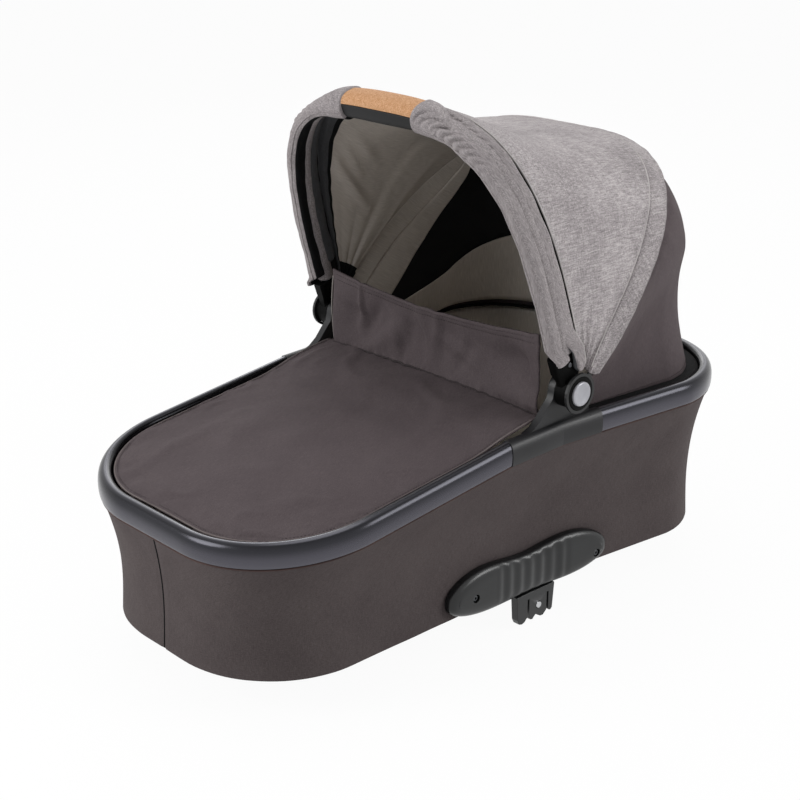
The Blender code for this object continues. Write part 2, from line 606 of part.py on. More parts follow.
# Black ends of the handle: a hub with a recess on each face, and an arm up to the sleeve.
for side, word in ((1, "left"), (-1, "right")):
    hub = add_object("handle_end_" + word,
                     disc(PIVOT, HUB_RADIUS, side * (POST_OUTER_Y + GAP), side * HUB_OUTER_Y, 28, 0.0012),
                     BLACK, 0.4)
    rings = []
    for s, half_depth, inset in ((0.004, 0.0150, GAP), (0.022, 0.0170, GAP), (0.031, 0.0185, -0.004),
                                 (ARM_TOP, 0.0195, -0.005)):
        centre, y_in = ORIGIN + UP * s, POST_OUTER_Y + inset
        ring = []
        for y, a in ((y_in, -0.8), (y_in, 0.8), (y_in + 0.003, 1.0), (ARM_OUTER_Y - 0.004, 1.0),
                     (ARM_OUTER_Y, 0.75), (ARM_OUTER_Y, -0.75), (ARM_OUTER_Y - 0.004, -1.0),
                     (y_in + 0.003, -1.0)):
            q = centre + OVER * a * half_depth
            ring.append((q[0], side * y, q[2]))
        rings.append(ring)
    combine(hub, loft(rings), "UNION")
    seat = disc(PIVOT, BUTTON_RADIUS + 0.0006, side * BUTTON_SEAT_Y, side * (HUB_OUTER_Y + 0.0065), 24)
    combine(hub, seat, "DIFFERENCE")
    gear_recess = disc(PIVOT, 0.0150, side * (POST_OUTER_Y - 0.0035), side * (GEAR_OUTER_Y + 0.0007), 24)
    combine(hub, gear_recess, "DIFFERENCE")
    bore = disc(PIVOT, PIN_RADIUS + GAP, side * (POST_OUTER_Y + 0.0015), side * (BUTTON_SEAT_Y + 0.001), 20)
    combine(hub, bore, "DIFFERENCE")
    tube_end = list(bow[:40]) if side > 0 else list(bow[:-41:-1])
    hole_run = spread([ORIGIN + UP * 0.0395 + np.array([0.0, tube_end[0][1], 0.0])] + tube_end, 8)
    bore = loft(swept(hole_run, OVER, TUBE_RADIUS + TUBE_CLEARANCE, TUBE_RADIUS + TUBE_CLEARANCE, 12))
    combine(hub, bore, "DIFFERENCE")
    hub.data.transform(Matrix.Translation([-c for c in HANDLE_ORIGIN]))
    hub.location = HANDLE_ORIGIN
    spot = (ORIGIN + UP * 0.0395)[[0, 2]]
    rivet = disc(spot, 0.0032, side * (ARM_OUTER_Y + GAP), side * (ARM_OUTER_Y + 0.0018), 12, 0.0008)
    add_object("arm_rivet_" + word, rivet, STEEL, 0.25, 1.0, origin=HANDLE_ORIGIN)
    cap = disc(PIVOT, BUTTON_RADIUS, side * BUTTON_INNER_Y, side * BUTTON_OUTER_Y, 28, 0.0012)
    add_object("pivot_button_" + word, cap, SILVER, 0.35, 0.6,
               origin=(PIVOT_X, side * BUTTON_INNER_Y, PIVOT_Z))


def between(first, last, turn, count):
    """Grid between two arches, going round the hinge line; a wide panel sags a little on the way."""
    rows = []
    for k in range(count):
        t = turn[0] + (turn[1] - turn[0]) * k / (count - 1)
        row = []
        for a, b in zip(first, last):
            pa, pb = a - ORIGIN, b - ORIGIN
            angle_a, angle_b = math.atan2(pa[0], pa[2]), math.atan2(pb[0], pb[2])
            ra, rb = math.hypot(pa[0], pa[2]), math.hypot(pb[0], pb[2])
            angle, r = angle_a + (angle_b - angle_a) * t, ra + (rb - ra) * t
            wide = min(1.0, max(0.0, (angle_b - angle_a) / math.radians(45.0) - 0.3))
            r -= HOOD_SAG * math.sin(math.pi * t) * wide * (r / 0.32) ** 2
            y = pa[1] + (pb[1] - pa[1]) * t
            row.append(ORIGIN + np.array([r * math.sin(angle), y, r * math.cos(angle)]))
        rows.append(row)
    return rows


COLUMNS = 25


def hood_arch(angles, shape, depth, across=0.0):
    """One arch of the hood, a depth below its surface; its feet turn away from the crown's plane."""
    half_width, reach, squareness = shape
    fine = []
    for k in range(1441):
        phi = math.pi / 2 * (1 - k / 720)
        s = (reach - depth) * abs(math.cos(phi)) ** (2 / squareness)
        low = max(0.0, 1.0 - s / LOW_REACH) ** 1.5
        y = half_width * abs(math.sin(phi)) ** (2 / squareness) - depth * abs(math.sin(phi))
        if angles[0] > 0:
            y += (LOW_HALF_WIDTH - half_width) * low
        up, over = frame_at(angles[0] + (angles[1] - angles[0]) * low)
        if s >= HOOD_START:
            fine.append(ORIGIN + up * s + over * across + np.array([0.0, math.copysign(y, phi), 0.0]))
    return spread(fine, COLUMNS)


def front_arch(depth):
    return hood_arch((HANDLE_LEAN, HANDLE_LEAN), FRONT_ARCH, depth, SLEEVE_HALF[1] + 0.0022)


def front_cloth(depth, turn, count):
    return between(front_arch(depth), hood_arch(SEAM_ANGLES, SEAM_ARCH, depth), turn, count)


def strip_cloth(depth, turn, count):
    first, last = hood_arch(SEAM_ANGLES, SEAM_ARCH, depth), hood_arch(STRIP_ANGLES, STRIP_ARCH, depth)
    return between(first, last, turn, count)


# Trim of the head rim: a black frame on the rim's ledge that the hood's skirt is fixed to.
TRIM = (0.0186, 0.0430)
TRIM_TOP = RIM_LEDGE + 0.0036
trim_rings = []
head_path = list(head_half) + [(x, -y, nx, -ny) for x, y, nx, ny in head_half[-2::-1]]
for x, y, nx, ny in head_path:
    low = rim_low(x)
    trim_rings.append([(x + nx * d, y + ny * d, low + h) for d, h in (
        (TRIM[0], RIM_LEDGE + GAP), (TRIM[0], TRIM_TOP - 0.001), (TRIM[0] + 0.001, TRIM_TOP),
        (TRIM[1] - 0.001, TRIM_TOP), (TRIM[1], TRIM_TOP - 0.001), (TRIM[1], RIM_LEDGE + GAP))])
add_object("head_trim", loft(trim_rings), BLACK, 0.6)

# Rear panel: from the strip over a rounded shoulder down to the trim of the head rim.
SKIRT_START_X = 0.106
SKIRT_INSET = 0.0345


def skirt_line(depth):
    """Lower edge of the rear panel, just above the trim."""
    inset = SKIRT_INSET + depth
    xs, ys = [p[0] for p in RIM_PATH[12:22]], [p[1] for p in RIM_PATH[12:22]]
    line = [(SKIRT_START_X, float(np.interp(SKIRT_START_X, xs, ys)) - inset, 0.0, -1.0)]
    line += [(x + nx * inset, y + ny * inset, nx, ny) for x, y, nx, ny in head_half]
    line[-1] = (line[-1][0], 0.0, -1.0, 0.0)
    line += [(x, -y, nx, -ny) for x, y, nx, ny in line[-2::-1]]
    points = np.array([(x, y, rim_low(x) + TRIM_TOP + 3 * GAP) for x, y, nx, ny in line])
    inward = np.array([(nx, ny) for x, y, nx, ny in line])
    lengths = np.concatenate([[0.0], np.cumsum(np.linalg.norm(np.diff(points, axis=0), axis=1))])
    at = np.linspace(0.0, lengths[-1], COLUMNS)
    across = np.interp(at, lengths, inward[:, 1])
    return spread(points, COLUMNS), list(zip(np.interp(at, lengths, inward[:, 0]), across))


def rear_cloth(depth, turn, count):
    """Bezier surface from the strip's rear edge to the trim."""
    up, over = frame_at(STRIP_ANGLES[0])
    strip = hood_arch(STRIP_ANGLES, STRIP_ARCH, depth)
    points, directions = skirt_line(depth)
    rows = []
    for k in range(count):
        t = turn[0] + (turn[1] - turn[0]) * k / (count - 1)
        row = []
        for a, d, (nx, ny) in zip(strip, points, directions):
            span = float(np.linalg.norm(d - a))
            tall = min(1.0, float((a - ORIGIN) @ up) / 0.28)
            b = a + over * span * (0.06 + 0.56 * tall ** 2.2)
            c = d + np.array([nx * 0.052 * tall, ny * 0.052 * tall, span * (0.45 + 0.32 * tall)])
            u = 1 - t
            row.append(a * u ** 3 + b * 3 * u * u * t + c * 3 * u * t * t + d * t ** 3)
        rows.append(row)
    return rows


def add_cloth(name, maker, depth, thickness, turn, count, colour):
    add_object(name, sheet(maker(depth, turn, count), maker(depth + thickness, turn, count)), colour, 0.88,
               origin=HANDLE_ORIGIN)


add_cloth("hood_front_panel", front_cloth, 0.0, CLOTH, (0.0, 0.985), 8, MELANGE)
add_cloth("hood_strip", strip_cloth, 0.0, CLOTH, (0.03, 0.96), 3, MELANGE)
add_cloth("hood_rear_panel", rear_cloth, 0.0, CLOTH, (0.008, 1.0), 8, TAUPE)

# Lining, with a mesh gore on both sides of the rear bow.
add_cloth("lining_front", front_cloth, LINING_DEPTH, LINING, (0.04, 0.80), 5, LINING_GREY)
add_cloth("lining_mesh_front", front_cloth, LINING_DEPTH, LINING, (0.81, 0.985), 2, BLACK)
add_cloth("lining_mesh_rear", strip_cloth, LINING_DEPTH, LINING, (0.03, 0.95), 2, BLACK)
add_cloth("lining_rear", rear_cloth, LINING_DEPTH, LINING, (0.012, 0.985), 5, LINING_GREY)

# Rear bow: a flat spring strap that lies along the strip, with a collar round each hub.
mid_up, mid_over = frame_at((SEAM_ANGLES[1] + STRIP_ANGLES[1]) / 2)
before, strap_line, after = [np.array(row) for row in strip_cloth(STRAP_DEPTH, (0.40, 0.60), 3)]
strap_rings = []
for k, p in enumerate(strap_line):
    tangent = strap_line[min(k + 1, COLUMNS - 1)] - strap_line[max(k - 1, 0)]
    along = (after[k] - before[k]) / np.linalg.norm(after[k] - before[k])
    normal = np.cross(along, tangent)
    normal /= np.linalg.norm(normal)
    strap_rings.append([p + normal * STRAP_HALF[0] * a + along * STRAP_HALF[1] * b
                        for a, b in ((-1.0, -1.0), (1.0, -1.0), (1.0, 1.0), (-1.0, 1.0))])
rear_bow = add_object("rear_bow", loft(strap_rings), BLACK, 0.45)
COLLAR_RADIUS = HUB_RADIUS + 0.0042
for side in (1, -1):
    collar = disc(PIVOT, COLLAR_RADIUS, side * (HUB_OUTER_Y - 0.0040), side * (HUB_OUTER_Y - 0.0004), 28)
    combine(rear_bow, collar, "UNION")
    foot = strap_line[0 if side > 0 else -1]
    rings = []
    low_y = abs(float(foot[1]))
    for s, y, half in ((0.0230, HUB_OUTER_Y - 0.0022, 0.0046), (0.0290, HUB_OUTER_Y - 0.0035, 0.0036),
                       (0.0345, low_y - 0.0007, 0.0020), (0.0410, low_y - 0.0002, 0.0020)):
        p = ORIGIN + mid_up * s
        rings.append([(p[0] + mid_over[0] * half * a, side * (y + b), p[2] + mid_over[2] * half * a)
                      for a, b in ((-1.0, -0.0012), (1.0, -0.0012), (1.0, 0.0012), (-1.0, 0.0012))])
    combine(rear_bow, loft(rings), "UNION")
    bore = disc(PIVOT, HUB_RADIUS + GAP, side * (HUB_OUTER_Y - 0.0085), side * (HUB_OUTER_Y + 0.0065), 28)
    combine(rear_bow, bore, "DIFFERENCE")
rear_bow.data.transform(Matrix.Translation([-c for c in HANDLE_ORIGIN]))
rear_bow.location = HANDLE_ORIGIN

# Cover over the foot half: it lies on the rim's ledge and domes a little.
COVER_EDGE = 0.0198
cover_edge = [(x + nx * COVER_EDGE, y + ny * COVER_EDGE) for x, y, nx, ny in RIM_PATH[:20]]
cover_edge[0] = (cover_edge[0][0], 0.0)


def cover_half_width(x):
    return float(np.interp(x, [p[0] for p in cover_edge[1:]], [p[1] for p in cover_edge[1:]]))


def smooth(t):
    t = min(1.0, max(0.0, t))
    return t * t * (3 - 2 * t)


def fold_lift(x):
    """The cover rises from the ledge where it nears the posts."""
    return FOLD_LIFT * smooth((x + 0.10) / (FOLD_X + 0.10))


cover_x0 = cover_edge[0][0] + 0.0001
cover_rows = []
COVER_ROWS, COVER_COLUMNS = 16, 13
for i in range(COVER_ROWS):
    t = i / (COVER_ROWS - 1)
    x = cover_x0 + (FOLD_X - cover_x0) * (t ** 1.7)
    half = cover_half_width(x)
    row = []
    for j in range(COVER_COLUMNS):
        v = math.sin(math.pi / 2 * (2 * j / (COVER_COLUMNS - 1) - 1))
        rear = smooth((x - FOLD_X + 0.16) / 0.16)
        dome = (APRON_DOME + (FOLD_DOME - APRON_DOME) * rear) * (1 - v * v) * min(1.0, t * 2.5) ** 0.8
        row.append((x, half * v, rim_low(x) + RIM_LEDGE + GAP + dome + fold_lift(x)))
    cover_rows.append(row)
top_rows = [[(x, y, z + APRON_CLOTH) for x, y, z in row] for row in cover_rows]
add_object("apron", sheet(top_rows, cover_rows), TAUPE, 0.85)

# Flap: stands up from the cover's rear edge, with its top hem hanging a little in the middle.
fold_z = rim_low(FOLD_X) + RIM_LEDGE + GAP + APRON_CLOTH + FOLD_LIFT
FLAP_ORIGIN = (FOLD_X - 0.006, 0.0, fold_z + FOLD_DOME + 0.0004)
front, back = [], []
for i in range(6):
    t = i / 5
    front_row, back_row = [], []
    for j in range(13):
        v = 2 * j / 12 - 1
        low = fold_z + FOLD_DOME * (1 - (FLAP_HALF_WIDTH * v / cover_half_width(FOLD_X)) ** 2) + 0.0006
        high = fold_z + FLAP_HEIGHT + 0.014 * v * v
        sag = 0.010 * math.sin(math.pi * t) * (1 - v * v)
        crease = 0.0016 * math.sin(9.0 * v + 4.0 * t) * math.sin(math.pi * t)
        x = FOLD_X - 0.0032 + sag + crease
        y = (FLAP_HALF_WIDTH - 0.002 * math.sin(math.pi * t)) * v
        z = low + (high - low) * t
        hem = 0.0006 if t > 0.8 else 0.0
        front_row.append((x - FLAP_CLOTH / 2 - hem, y, z))
        back_row.append((x + FLAP_CLOTH / 2 + hem, y, z))
    front.append(front_row)
    back.append(back_row)
add_object("apron_flap", sheet(front, back), TAUPE, 0.85, origin=FLAP_ORIGIN)
for side, word in ((1, "left"), (-1, "right")):
    run = []
    for k in range(9):
        t = k / 8
        y = side * (FLAP_HALF_WIDTH + 0.0014 + 0.004 * math.sin(math.pi * t))
        run.append(np.array([FOLD_X - 0.003, y, fold_z + 0.006 + 0.090 * t]))
    rings = swept(run, np.array([1.0, 0.0, 0.0]), 0.0012, 0.0012, 8)
    add_object("flap_cord_" + word, loft(rings), MELANGE, 0.8, origin=FLAP_ORIGIN)


# Side plates: a bean outline that hugs the wall, held by two screws, with the chassis plug below.
def plate_outline(shrink):
    points = []
    count = 36
    for k in range(count):
        t = 2 * math.pi * k / count
        c, s = math.cos(t), math.sin(t)
        x = PLATE_CENTRE_X + (PLATE_HALF_LENGTH - shrink) * math.copysign(abs(c) ** 0.75, c)
        waist = 0.5 + 0.5 * math.cos(2 * math.pi * (x - PLATE_CENTRE_X) / 0.19)
        top = PLATE_TOP - 0.007 * waist - shrink
        low = PLATE_LOW + 0.003 * waist + shrink
        height = top - PLATE_MIDDLE if s > 0 else PLATE_MIDDLE - low
        z = PLATE_MIDDLE + height * math.copysign(abs(s) ** 0.75, s)
        points.append((x, BASE_Z + z))
    return points


def plate_edge(x):
    """Height of the plate's lower edge, which the plug sits under."""
    c = (abs(x - PLATE_CENTRE_X) / PLATE_HALF_LENGTH) ** (1 / 0.75)
    waist = 0.5 + 0.5 * math.cos(2 * math.pi * (x - PLATE_CENTRE_X) / 0.19)
    return PLATE_MIDDLE - (PLATE_MIDDLE - PLATE_LOW - 0.003 * waist) * math.sqrt(1 - c * c) ** 0.75


PLATE_LEVELS = ((0.0, 0.0005), (0.0, 0.0065), (0.0030, 0.0110), (0.0110, PLATE_BULGE))
for side, word in ((1, "left"), (-1, "right")):
    rings = []
    for shrink, height in PLATE_LEVELS:
        rings.append([(x, side * (max(wall_y(x, z), wall_y(x, BASE_Z + 0.008)) + height), z)
                      for x, z in plate_outline(shrink)])
    bm = loft(rings)
    plate = add_object("side_plate_" + word, bm, BLACK, 0.4, sharp=50.0)
    for k, (x, z) in enumerate(SCREW_SPOTS):
        face = wall_y(x, BASE_Z + z) + PLATE_BULGE
        spot = (x, BASE_Z + z)
        combine(plate, disc(spot, 0.0052, side * (face - 0.0045), side * (face + 0.02), 16), "DIFFERENCE")
        screw = add_object("screw_%s_%s" % (("foot", "head")[k], word),
                           disc(spot, 0.0046, side * (face - 0.0042), side * (face - 0.0005), 14, 0.0012),
                           STEEL, 0.3, 1.0)
        combine(screw, disc(spot, 0.0019, side * (face - 0.0025), side * (face + 0.001), 6), "DIFFERENCE")

PLUG_OUTLINE = (
    (-0.0355, 0.0), (-0.0330, -0.0350), (-0.0300, -0.0415), (-0.0250, -0.0430), (-0.0200, -0.0415),
    (-0.0160, -0.0375), (-0.0150, -0.0372), (-0.0150, -0.0110), (-0.0120, -0.0110), (-0.0120, -0.0375),
    (-0.0090, -0.0415), (-0.0050, -0.0425), (-0.0015, -0.0390), (0.0010, -0.0372), (0.0050, -0.0400),
    (0.0100, -0.0430), (0.0150, -0.0435), (0.0190, -0.0400), (0.0215, -0.0380), (0.0215, -0.0120),
    (0.0245, -0.0120), (0.0245, -0.0380), (0.0270, -0.0405), (0.0300, -0.0410), (0.0325, -0.0380),
    (0.0355, 0.0), (0.0120, 0.0), (-0.0120, 0.0),
)
for side, word in ((1, "left"), (-1, "right")):
    y_middle = wall_y(PLUG_X, BASE_Z) + 0.0065
    outline = [(PLUG_X + x, BASE_Z + (z if z < 0 else plate_edge(PLUG_X + x) - GAP)) for x, z in PLUG_OUTLINE]
    bm = slab(outline, side * (y_middle - PLUG_THICKNESS / 2), side * (y_middle + PLUG_THICKNESS / 2))
    soften(bm, 60, 0.0006)
    plug = add_object("plug_" + word, bm, BLACK, 0.4)
    spot = (PLUG_X + 0.006, BASE_Z - 0.025)
    outer_y = y_middle + PLUG_THICKNESS / 2
    combine(plug, disc(spot, 0.0050, side * (outer_y - 0.005), side * (outer_y + 0.02), 20), "DIFFERENCE")
    pin = disc(spot, 0.0046, side * (outer_y - 0.0047), side * (outer_y + 0.0012), 20, 0.0012)
    add_object("plug_pin_" + word, pin, STEEL, 0.25, 1.0)
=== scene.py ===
import math
from math import pi

import bmesh
import bpy
import numpy as np
from mathutils import Matrix, Vector, noise


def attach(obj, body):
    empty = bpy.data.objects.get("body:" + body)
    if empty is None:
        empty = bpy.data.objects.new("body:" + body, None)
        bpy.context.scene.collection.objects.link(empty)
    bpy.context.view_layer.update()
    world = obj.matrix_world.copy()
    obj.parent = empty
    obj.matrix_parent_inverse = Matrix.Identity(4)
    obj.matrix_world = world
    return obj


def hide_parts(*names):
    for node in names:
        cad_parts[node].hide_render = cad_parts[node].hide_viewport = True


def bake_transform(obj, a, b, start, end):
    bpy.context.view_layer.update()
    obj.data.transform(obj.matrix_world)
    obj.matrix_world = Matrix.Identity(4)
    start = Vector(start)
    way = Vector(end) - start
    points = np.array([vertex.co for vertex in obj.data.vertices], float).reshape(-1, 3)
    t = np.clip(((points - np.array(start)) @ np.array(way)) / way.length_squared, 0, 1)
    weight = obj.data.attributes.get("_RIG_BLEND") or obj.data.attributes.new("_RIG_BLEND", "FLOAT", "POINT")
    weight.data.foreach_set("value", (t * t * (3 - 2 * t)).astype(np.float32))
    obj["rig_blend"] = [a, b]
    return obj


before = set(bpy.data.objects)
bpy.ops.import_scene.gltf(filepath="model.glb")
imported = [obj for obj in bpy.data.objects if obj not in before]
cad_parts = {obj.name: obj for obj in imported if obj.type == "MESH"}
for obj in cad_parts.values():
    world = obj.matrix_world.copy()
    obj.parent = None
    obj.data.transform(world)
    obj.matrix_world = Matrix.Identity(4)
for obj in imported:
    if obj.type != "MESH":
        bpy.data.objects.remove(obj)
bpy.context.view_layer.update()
print("frame loaded:", len(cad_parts), "solids")

# x runs from the foot end to the head end, y to the left side, z up from the floor
cot = {
    "length": 0.830, "footHalf": 0.218, "jointHalf": 0.222, "headHalf": 0.249,
    "footCorner": (0.155, 0.159), "headCorner": (0.146, 0.152), "widenFrom": 0.050,
    "floor": 0.048, "insetFoot": 0.0095, "insetSide": 0.033, "insetHead": 0.002,
    "flare": 2.8, "waist": 0.004, "jointFoot": -0.040, "jointHead": 0.115,
    "rimFootZ": 0.199, "rimJointZ": 0.2465, "rimHeadZ": 0.2556, "ledge": 0.0195,
    "endSteps": 8, "cornerSteps": 26, "sideSteps": 41, "gap": 0.0003,
}
hinge = np.array([0.060, 0.0, 0.320])  # middle of the line that the handle and the hood turn about
postOuter = 0.2135
hubOuter = postOuter + 0.025
bothSides = ((1, "left"), (-1, "right"))
# what turns at each end of the cloth that folds like a fan, and the line along which its share grows
fans = {"front": ("handle", "rear_hood", (-0.04, 0.0, 0.62), (0.26, 0.0, 0.58)),
        "rear": ("cot", "rear_hood", (0.38, 0.0, 0.30), (0.30, 0.0, 0.55))}


def toLinear(hexCode):
    values = [int(hexCode[k:k + 2], 16) / 255 for k in (1, 3, 5)]
    return tuple(c / 12.92 if c <= 0.04045 else ((c + 0.055) / 1.055) ** 2.4 for c in values) + (1.0,)


def socketOf(source):
    return source.outputs[0] if hasattr(source, "outputs") else source


def addNode(tree, kind, settings=None, links=None):
    # settings go to the node's own fields or to its sockets, links join other nodes or their sockets to it
    node = tree.nodes.new("ShaderNode" + kind)
    for key, value in (settings or {}).items():
        if key == "stops":
            while len(node.color_ramp.elements) < len(value):
                node.color_ramp.elements.new(0.5)
            for stop, (place, colour) in zip(node.color_ramp.elements, value):
                stop.position, stop.color = place, toLinear(colour)
        elif isinstance(key, int) or key in node.inputs:
            node.inputs[key].default_value = toLinear(value) if isinstance(value, str) else value
        else:
            setattr(node, key, value)
    for key, source in (links or {}).items():
        if source is not None:
            tree.links.new(socketOf(source), node.inputs[key])
    return node


def unit(vectors):
    return vectors / np.maximum(np.linalg.norm(vectors, axis=-1, keepdims=True), 1e-6)


def ease(t):
    t = np.clip(t, 0.0, 1.0)
    return t * t * (3 - 2 * t)


def bell(x, centre, width):
    return np.exp(-((x - centre) / width) ** 2)


def hump(t, power=1.0):
    return np.sin(pi * t) ** power


def toward(value, target, share):
    return value + (target - value) * share


def rounded(x, power):
    return np.copysign(np.abs(x) ** power, x)


# waves alike in all directions, and waves that are the same at every height
even, fromAbove = (1.0, 1.0, 1.0), (1.0, 1.0, 0.0)


def ripple(points, size, seed, squeeze=even):
    # smooth unevenness from -1 to 1, about one wave in every size metres, drawn out where it is squeezed
    flat = (points * squeeze).reshape(-1, 3) / size + seed
    return np.array([noise.noise(p) for p in flat]).reshape(points.shape[:-1])


def creaseNet(points, size, seed, squeeze=even):
    # thin soft creases, which wander through the cloth and fade out again
    return (ease(1.0 - 4.5 * np.abs(ripple(points, size, seed, squeeze)))
            * ease(0.55 + 1.3 * ripple(points, size * 1.7, seed + 7.3, squeeze)))


def wrinkles(points, *layers):
    # the sum of its layers, each with depth, kind, size, seed, squeeze and how far it shows at each point
    return sum(depth * kind(points, size, seed, squeeze) * where
               for depth, kind, size, seed, squeeze, where in layers)


def foldAlong(points, start, end, width):
    # one soft fold from start to end, 1 along its middle and fading to both ends
    axis = np.subtract(end, start)
    s = np.clip(((points - start) @ axis) / float(axis @ axis), 0.0, 1.0)
    off = np.linalg.norm(points - start - s[..., None] * axis, axis=-1)
    return bell(off, 0.0, width) * hump(np.clip(s, 0.04, 0.96), 0.5)


def runLengths(points):
    return np.concatenate([[0.0], np.cumsum(np.linalg.norm(np.diff(points, axis=0), axis=1))])


def pathLength(points):
    return float(runLengths(points)[-1])


def spread(points, count, along=None):
    # the same line with evenly spaced points, or values that belong to the points of another line
    points = np.asarray(points)
    lengths = runLengths(points if along is None else along)
    at = np.linspace(0.0, lengths[-1], count)
    return np.stack([np.interp(at, lengths, values) for values in points.T], axis=1)


def joined(rows, axis=0):
    return np.concatenate([rows, rows.take([0], axis=axis)], axis=axis)


def bentGrid(rows, closed=False, capped=False, inside=None, share=None, paint=None):
    # a flat grid is bent so that its vertices lie on rows of points; its UV map is in metres of cloth
    full = np.asarray(rows, dtype=float)
    if closed:
        full = joined(full, 1)
    down, across = full.shape[0] - 1, full.shape[1] - 1
    u, v = np.zeros(full.shape[:2]), np.zeros(full.shape[:2])
    u[:, 1:] = np.cumsum(np.linalg.norm(np.diff(full, axis=1), axis=2), axis=1)
    u -= u[:, -1:] / 2
    v[1:] = np.cumsum(np.linalg.norm(np.diff(full, axis=0), axis=2), axis=0)
    bm = bmesh.new()
    bmesh.ops.create_grid(bm, x_segments=across, y_segments=down, size=1.0)
    clothMap = bm.loops.layers.uv.new("cloth")
    shareLayer = None
    if share is not None:
        shareLayer, share = bm.verts.layers.float.new("share"), np.broadcast_to(share, full.shape[:2])
    placeLayer = bm.verts.layers.float_vector.new("grainPlace")
    spots = {vert: (round((vert.co.y + 1) / 2 * down), round((vert.co.x + 1) / 2 * across)) for vert in bm.verts}
    for face in bm.faces:
        for loop in face.loops:
            i, j = spots[loop.vert]
            loop[clothMap].uv = (u[i, j], v[i, j])
        if paint is not None:
            i, j = [min(spots[loop.vert][k] for loop in face.loops) for k in (0, 1)]
            face.material_index = int(paint(i / down, j / across))
    for vert, (i, j) in spots.items():
        vert.co = full[i, j]
        vert[placeLayer] = Vector(full[i, j])
        if shareLayer:
            vert[shareLayer] = float(share[i, j])
    bmesh.ops.remove_doubles(bm, verts=bm.verts, dist=0.00002)
    if capped:
        bmesh.ops.holes_fill(bm, edges=[e for e in bm.edges if e.is_boundary])
    if inside is None:
        bmesh.ops.recalc_face_normals(bm, faces=bm.faces)
    else:
        bm.normal_update()
        if sum((f.calc_center_median() - Vector(inside)).dot(f.normal) * f.calc_area() for f in bm.faces) < 0:
            bmesh.ops.reverse_faces(bm, faces=bm.faces)
    return bm


def addObject(name, data):
    thing = bpy.data.objects.new(name, data)
    bpy.context.scene.collection.objects.link(thing)
    return thing


def meshOf(name, bm):
    mesh = bpy.data.meshes.new(name)
    bm.to_mesh(mesh)
    bm.free()
    return mesh


def addPiece(name, shape, materials, slot, body=None, nodes=(), thickness=0.0, bevel=0.0, smooth=50.0, fan=None,
             **grid):
    # a piece of the dressed part from a bmesh, or from rows of points and what bentGrid needs beside them
    mesh = meshOf(name, shape if isinstance(shape, bmesh.types.BMesh) else bentGrid(shape, **grid))
    mesh.shade_smooth()
    mesh.set_sharp_from_angle(angle=math.radians(smooth))
    for material in materials if isinstance(materials, list) else [materials]:
        mesh.materials.append(material)
    piece = addObject(name, mesh)
    if thickness:
        wall = piece.modifiers.new("thickness", "SOLIDIFY")
        wall.thickness, wall.offset = thickness, -1.0
    if bevel:
        edge = piece.modifiers.new("edge", "BEVEL")
        edge.width, edge.segments, edge.limit_method = bevel, 2, "ANGLE"
        edge.angle_limit, edge.harden_normals = math.radians(40), True
    if nodes:
        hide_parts(*nodes)
    if body:
        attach(piece, body)
    if fan:
        # each vertex takes its own share of the turn
        first, second, start, end = fan
        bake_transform(piece, first, second, start=start, end=end)
        values = np.zeros(len(mesh.vertices), dtype=np.float32)
        mesh.attributes["share"].data.foreach_get("value", values)
        mesh.attributes["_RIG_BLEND"].data.foreach_set("value", values)
    return piece


def declareCloth(piece, rows):
    # the flat size is the longest row by the longest column, the area is the sum of the cells
    width = max(pathLength(row) for row in rows)
    length = max(pathLength(column) for column in rows.transpose(1, 0, 2))
    a, b, c, d = rows[:-1, :-1], rows[:-1, 1:], rows[1:, 1:], rows[1:, :-1]
    area = 0.5 * float(sum(np.linalg.norm(np.cross(p - a, q - a), axis=2).sum() for p, q in ((b, c), (c, d))))
    area = min(area, 0.999 * width * length)
    print("cloth", piece.name, "flat %.3f x %.3f m, %.4f m2" % (width, length, area))


def tubeRows(points, radius, around=8):
    points = np.asarray(points, dtype=float)
    turns = np.arange(around) * 2 * pi / around
    tangents = unit(np.gradient(points, axis=0))
    normal = np.cross(tangents[0], (0.31, 0.52, 0.79))
    rows = []
    for p, tangent in zip(points, tangents):
        normal = unit(normal - tangent * float(normal @ tangent))
        over = np.cross(tangent, normal)
        rows.append(p + radius * (np.outer(np.cos(turns), normal) + np.outer(np.sin(turns), over)))
    return rows


def addPiping(name, points, radius, material, slot, body, around=8):
    return addPiece(name, tubeRows(points, radius, around), material, slot, body, closed=True, capped=True)


stitch = {"pitch": 0.0042, "length": 0.0029, "radius": 0.00042}


def addStitches(name, points, slot, body):
    bm = bmesh.new()
    walk = spread(points, max(2, int(pathLength(points) / stitch["pitch"])) + 1)
    size = Matrix.Diagonal((stitch["length"] / 2, stitch["radius"], stitch["radius"], 1.0))
    for a, b in zip(walk[:-1], walk[1:]):
        turn = Vector(b - a).to_track_quat("X", "Z").to_matrix().to_4x4()
        bmesh.ops.create_icosphere(bm, subdivisions=1, radius=1.0,
                                   matrix=Matrix.Translation(Vector((a + b) / 2)) @ turn @ size)
    return addPiece(name, bm, plastic["thread"], slot, body, smooth=180.0)


def refinedCopy(name, node, material, slot, body, bevel):
    # a CAD solid with its own shape, its edges broken as a mould or a press leaves them
    bm = bmesh.new()
    bm.from_mesh(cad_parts[node].data)
    bmesh.ops.remove_doubles(bm, verts=bm.verts, dist=0.00001)
    bmesh.ops.dissolve_limit(bm, angle_limit=math.radians(1.5), verts=bm.verts, edges=bm.edges)
    addPiece(name, bm, material, slot, body, [node], bevel=bevel, smooth=35.0)


def reclad(material, *nodes):
    for node in nodes:
        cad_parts[node].data.materials[0] = material


# materials: each starts as a shader and the place that its textures are laid by
places = {"cloth": ("UVMap", {"uv_map": "cloth"}, "UV"),
          "grain": ("Attribute", {"attribute_name": "grainPlace"}, "Vector"),
          "object": ("TexCoord", {}, "Object")}


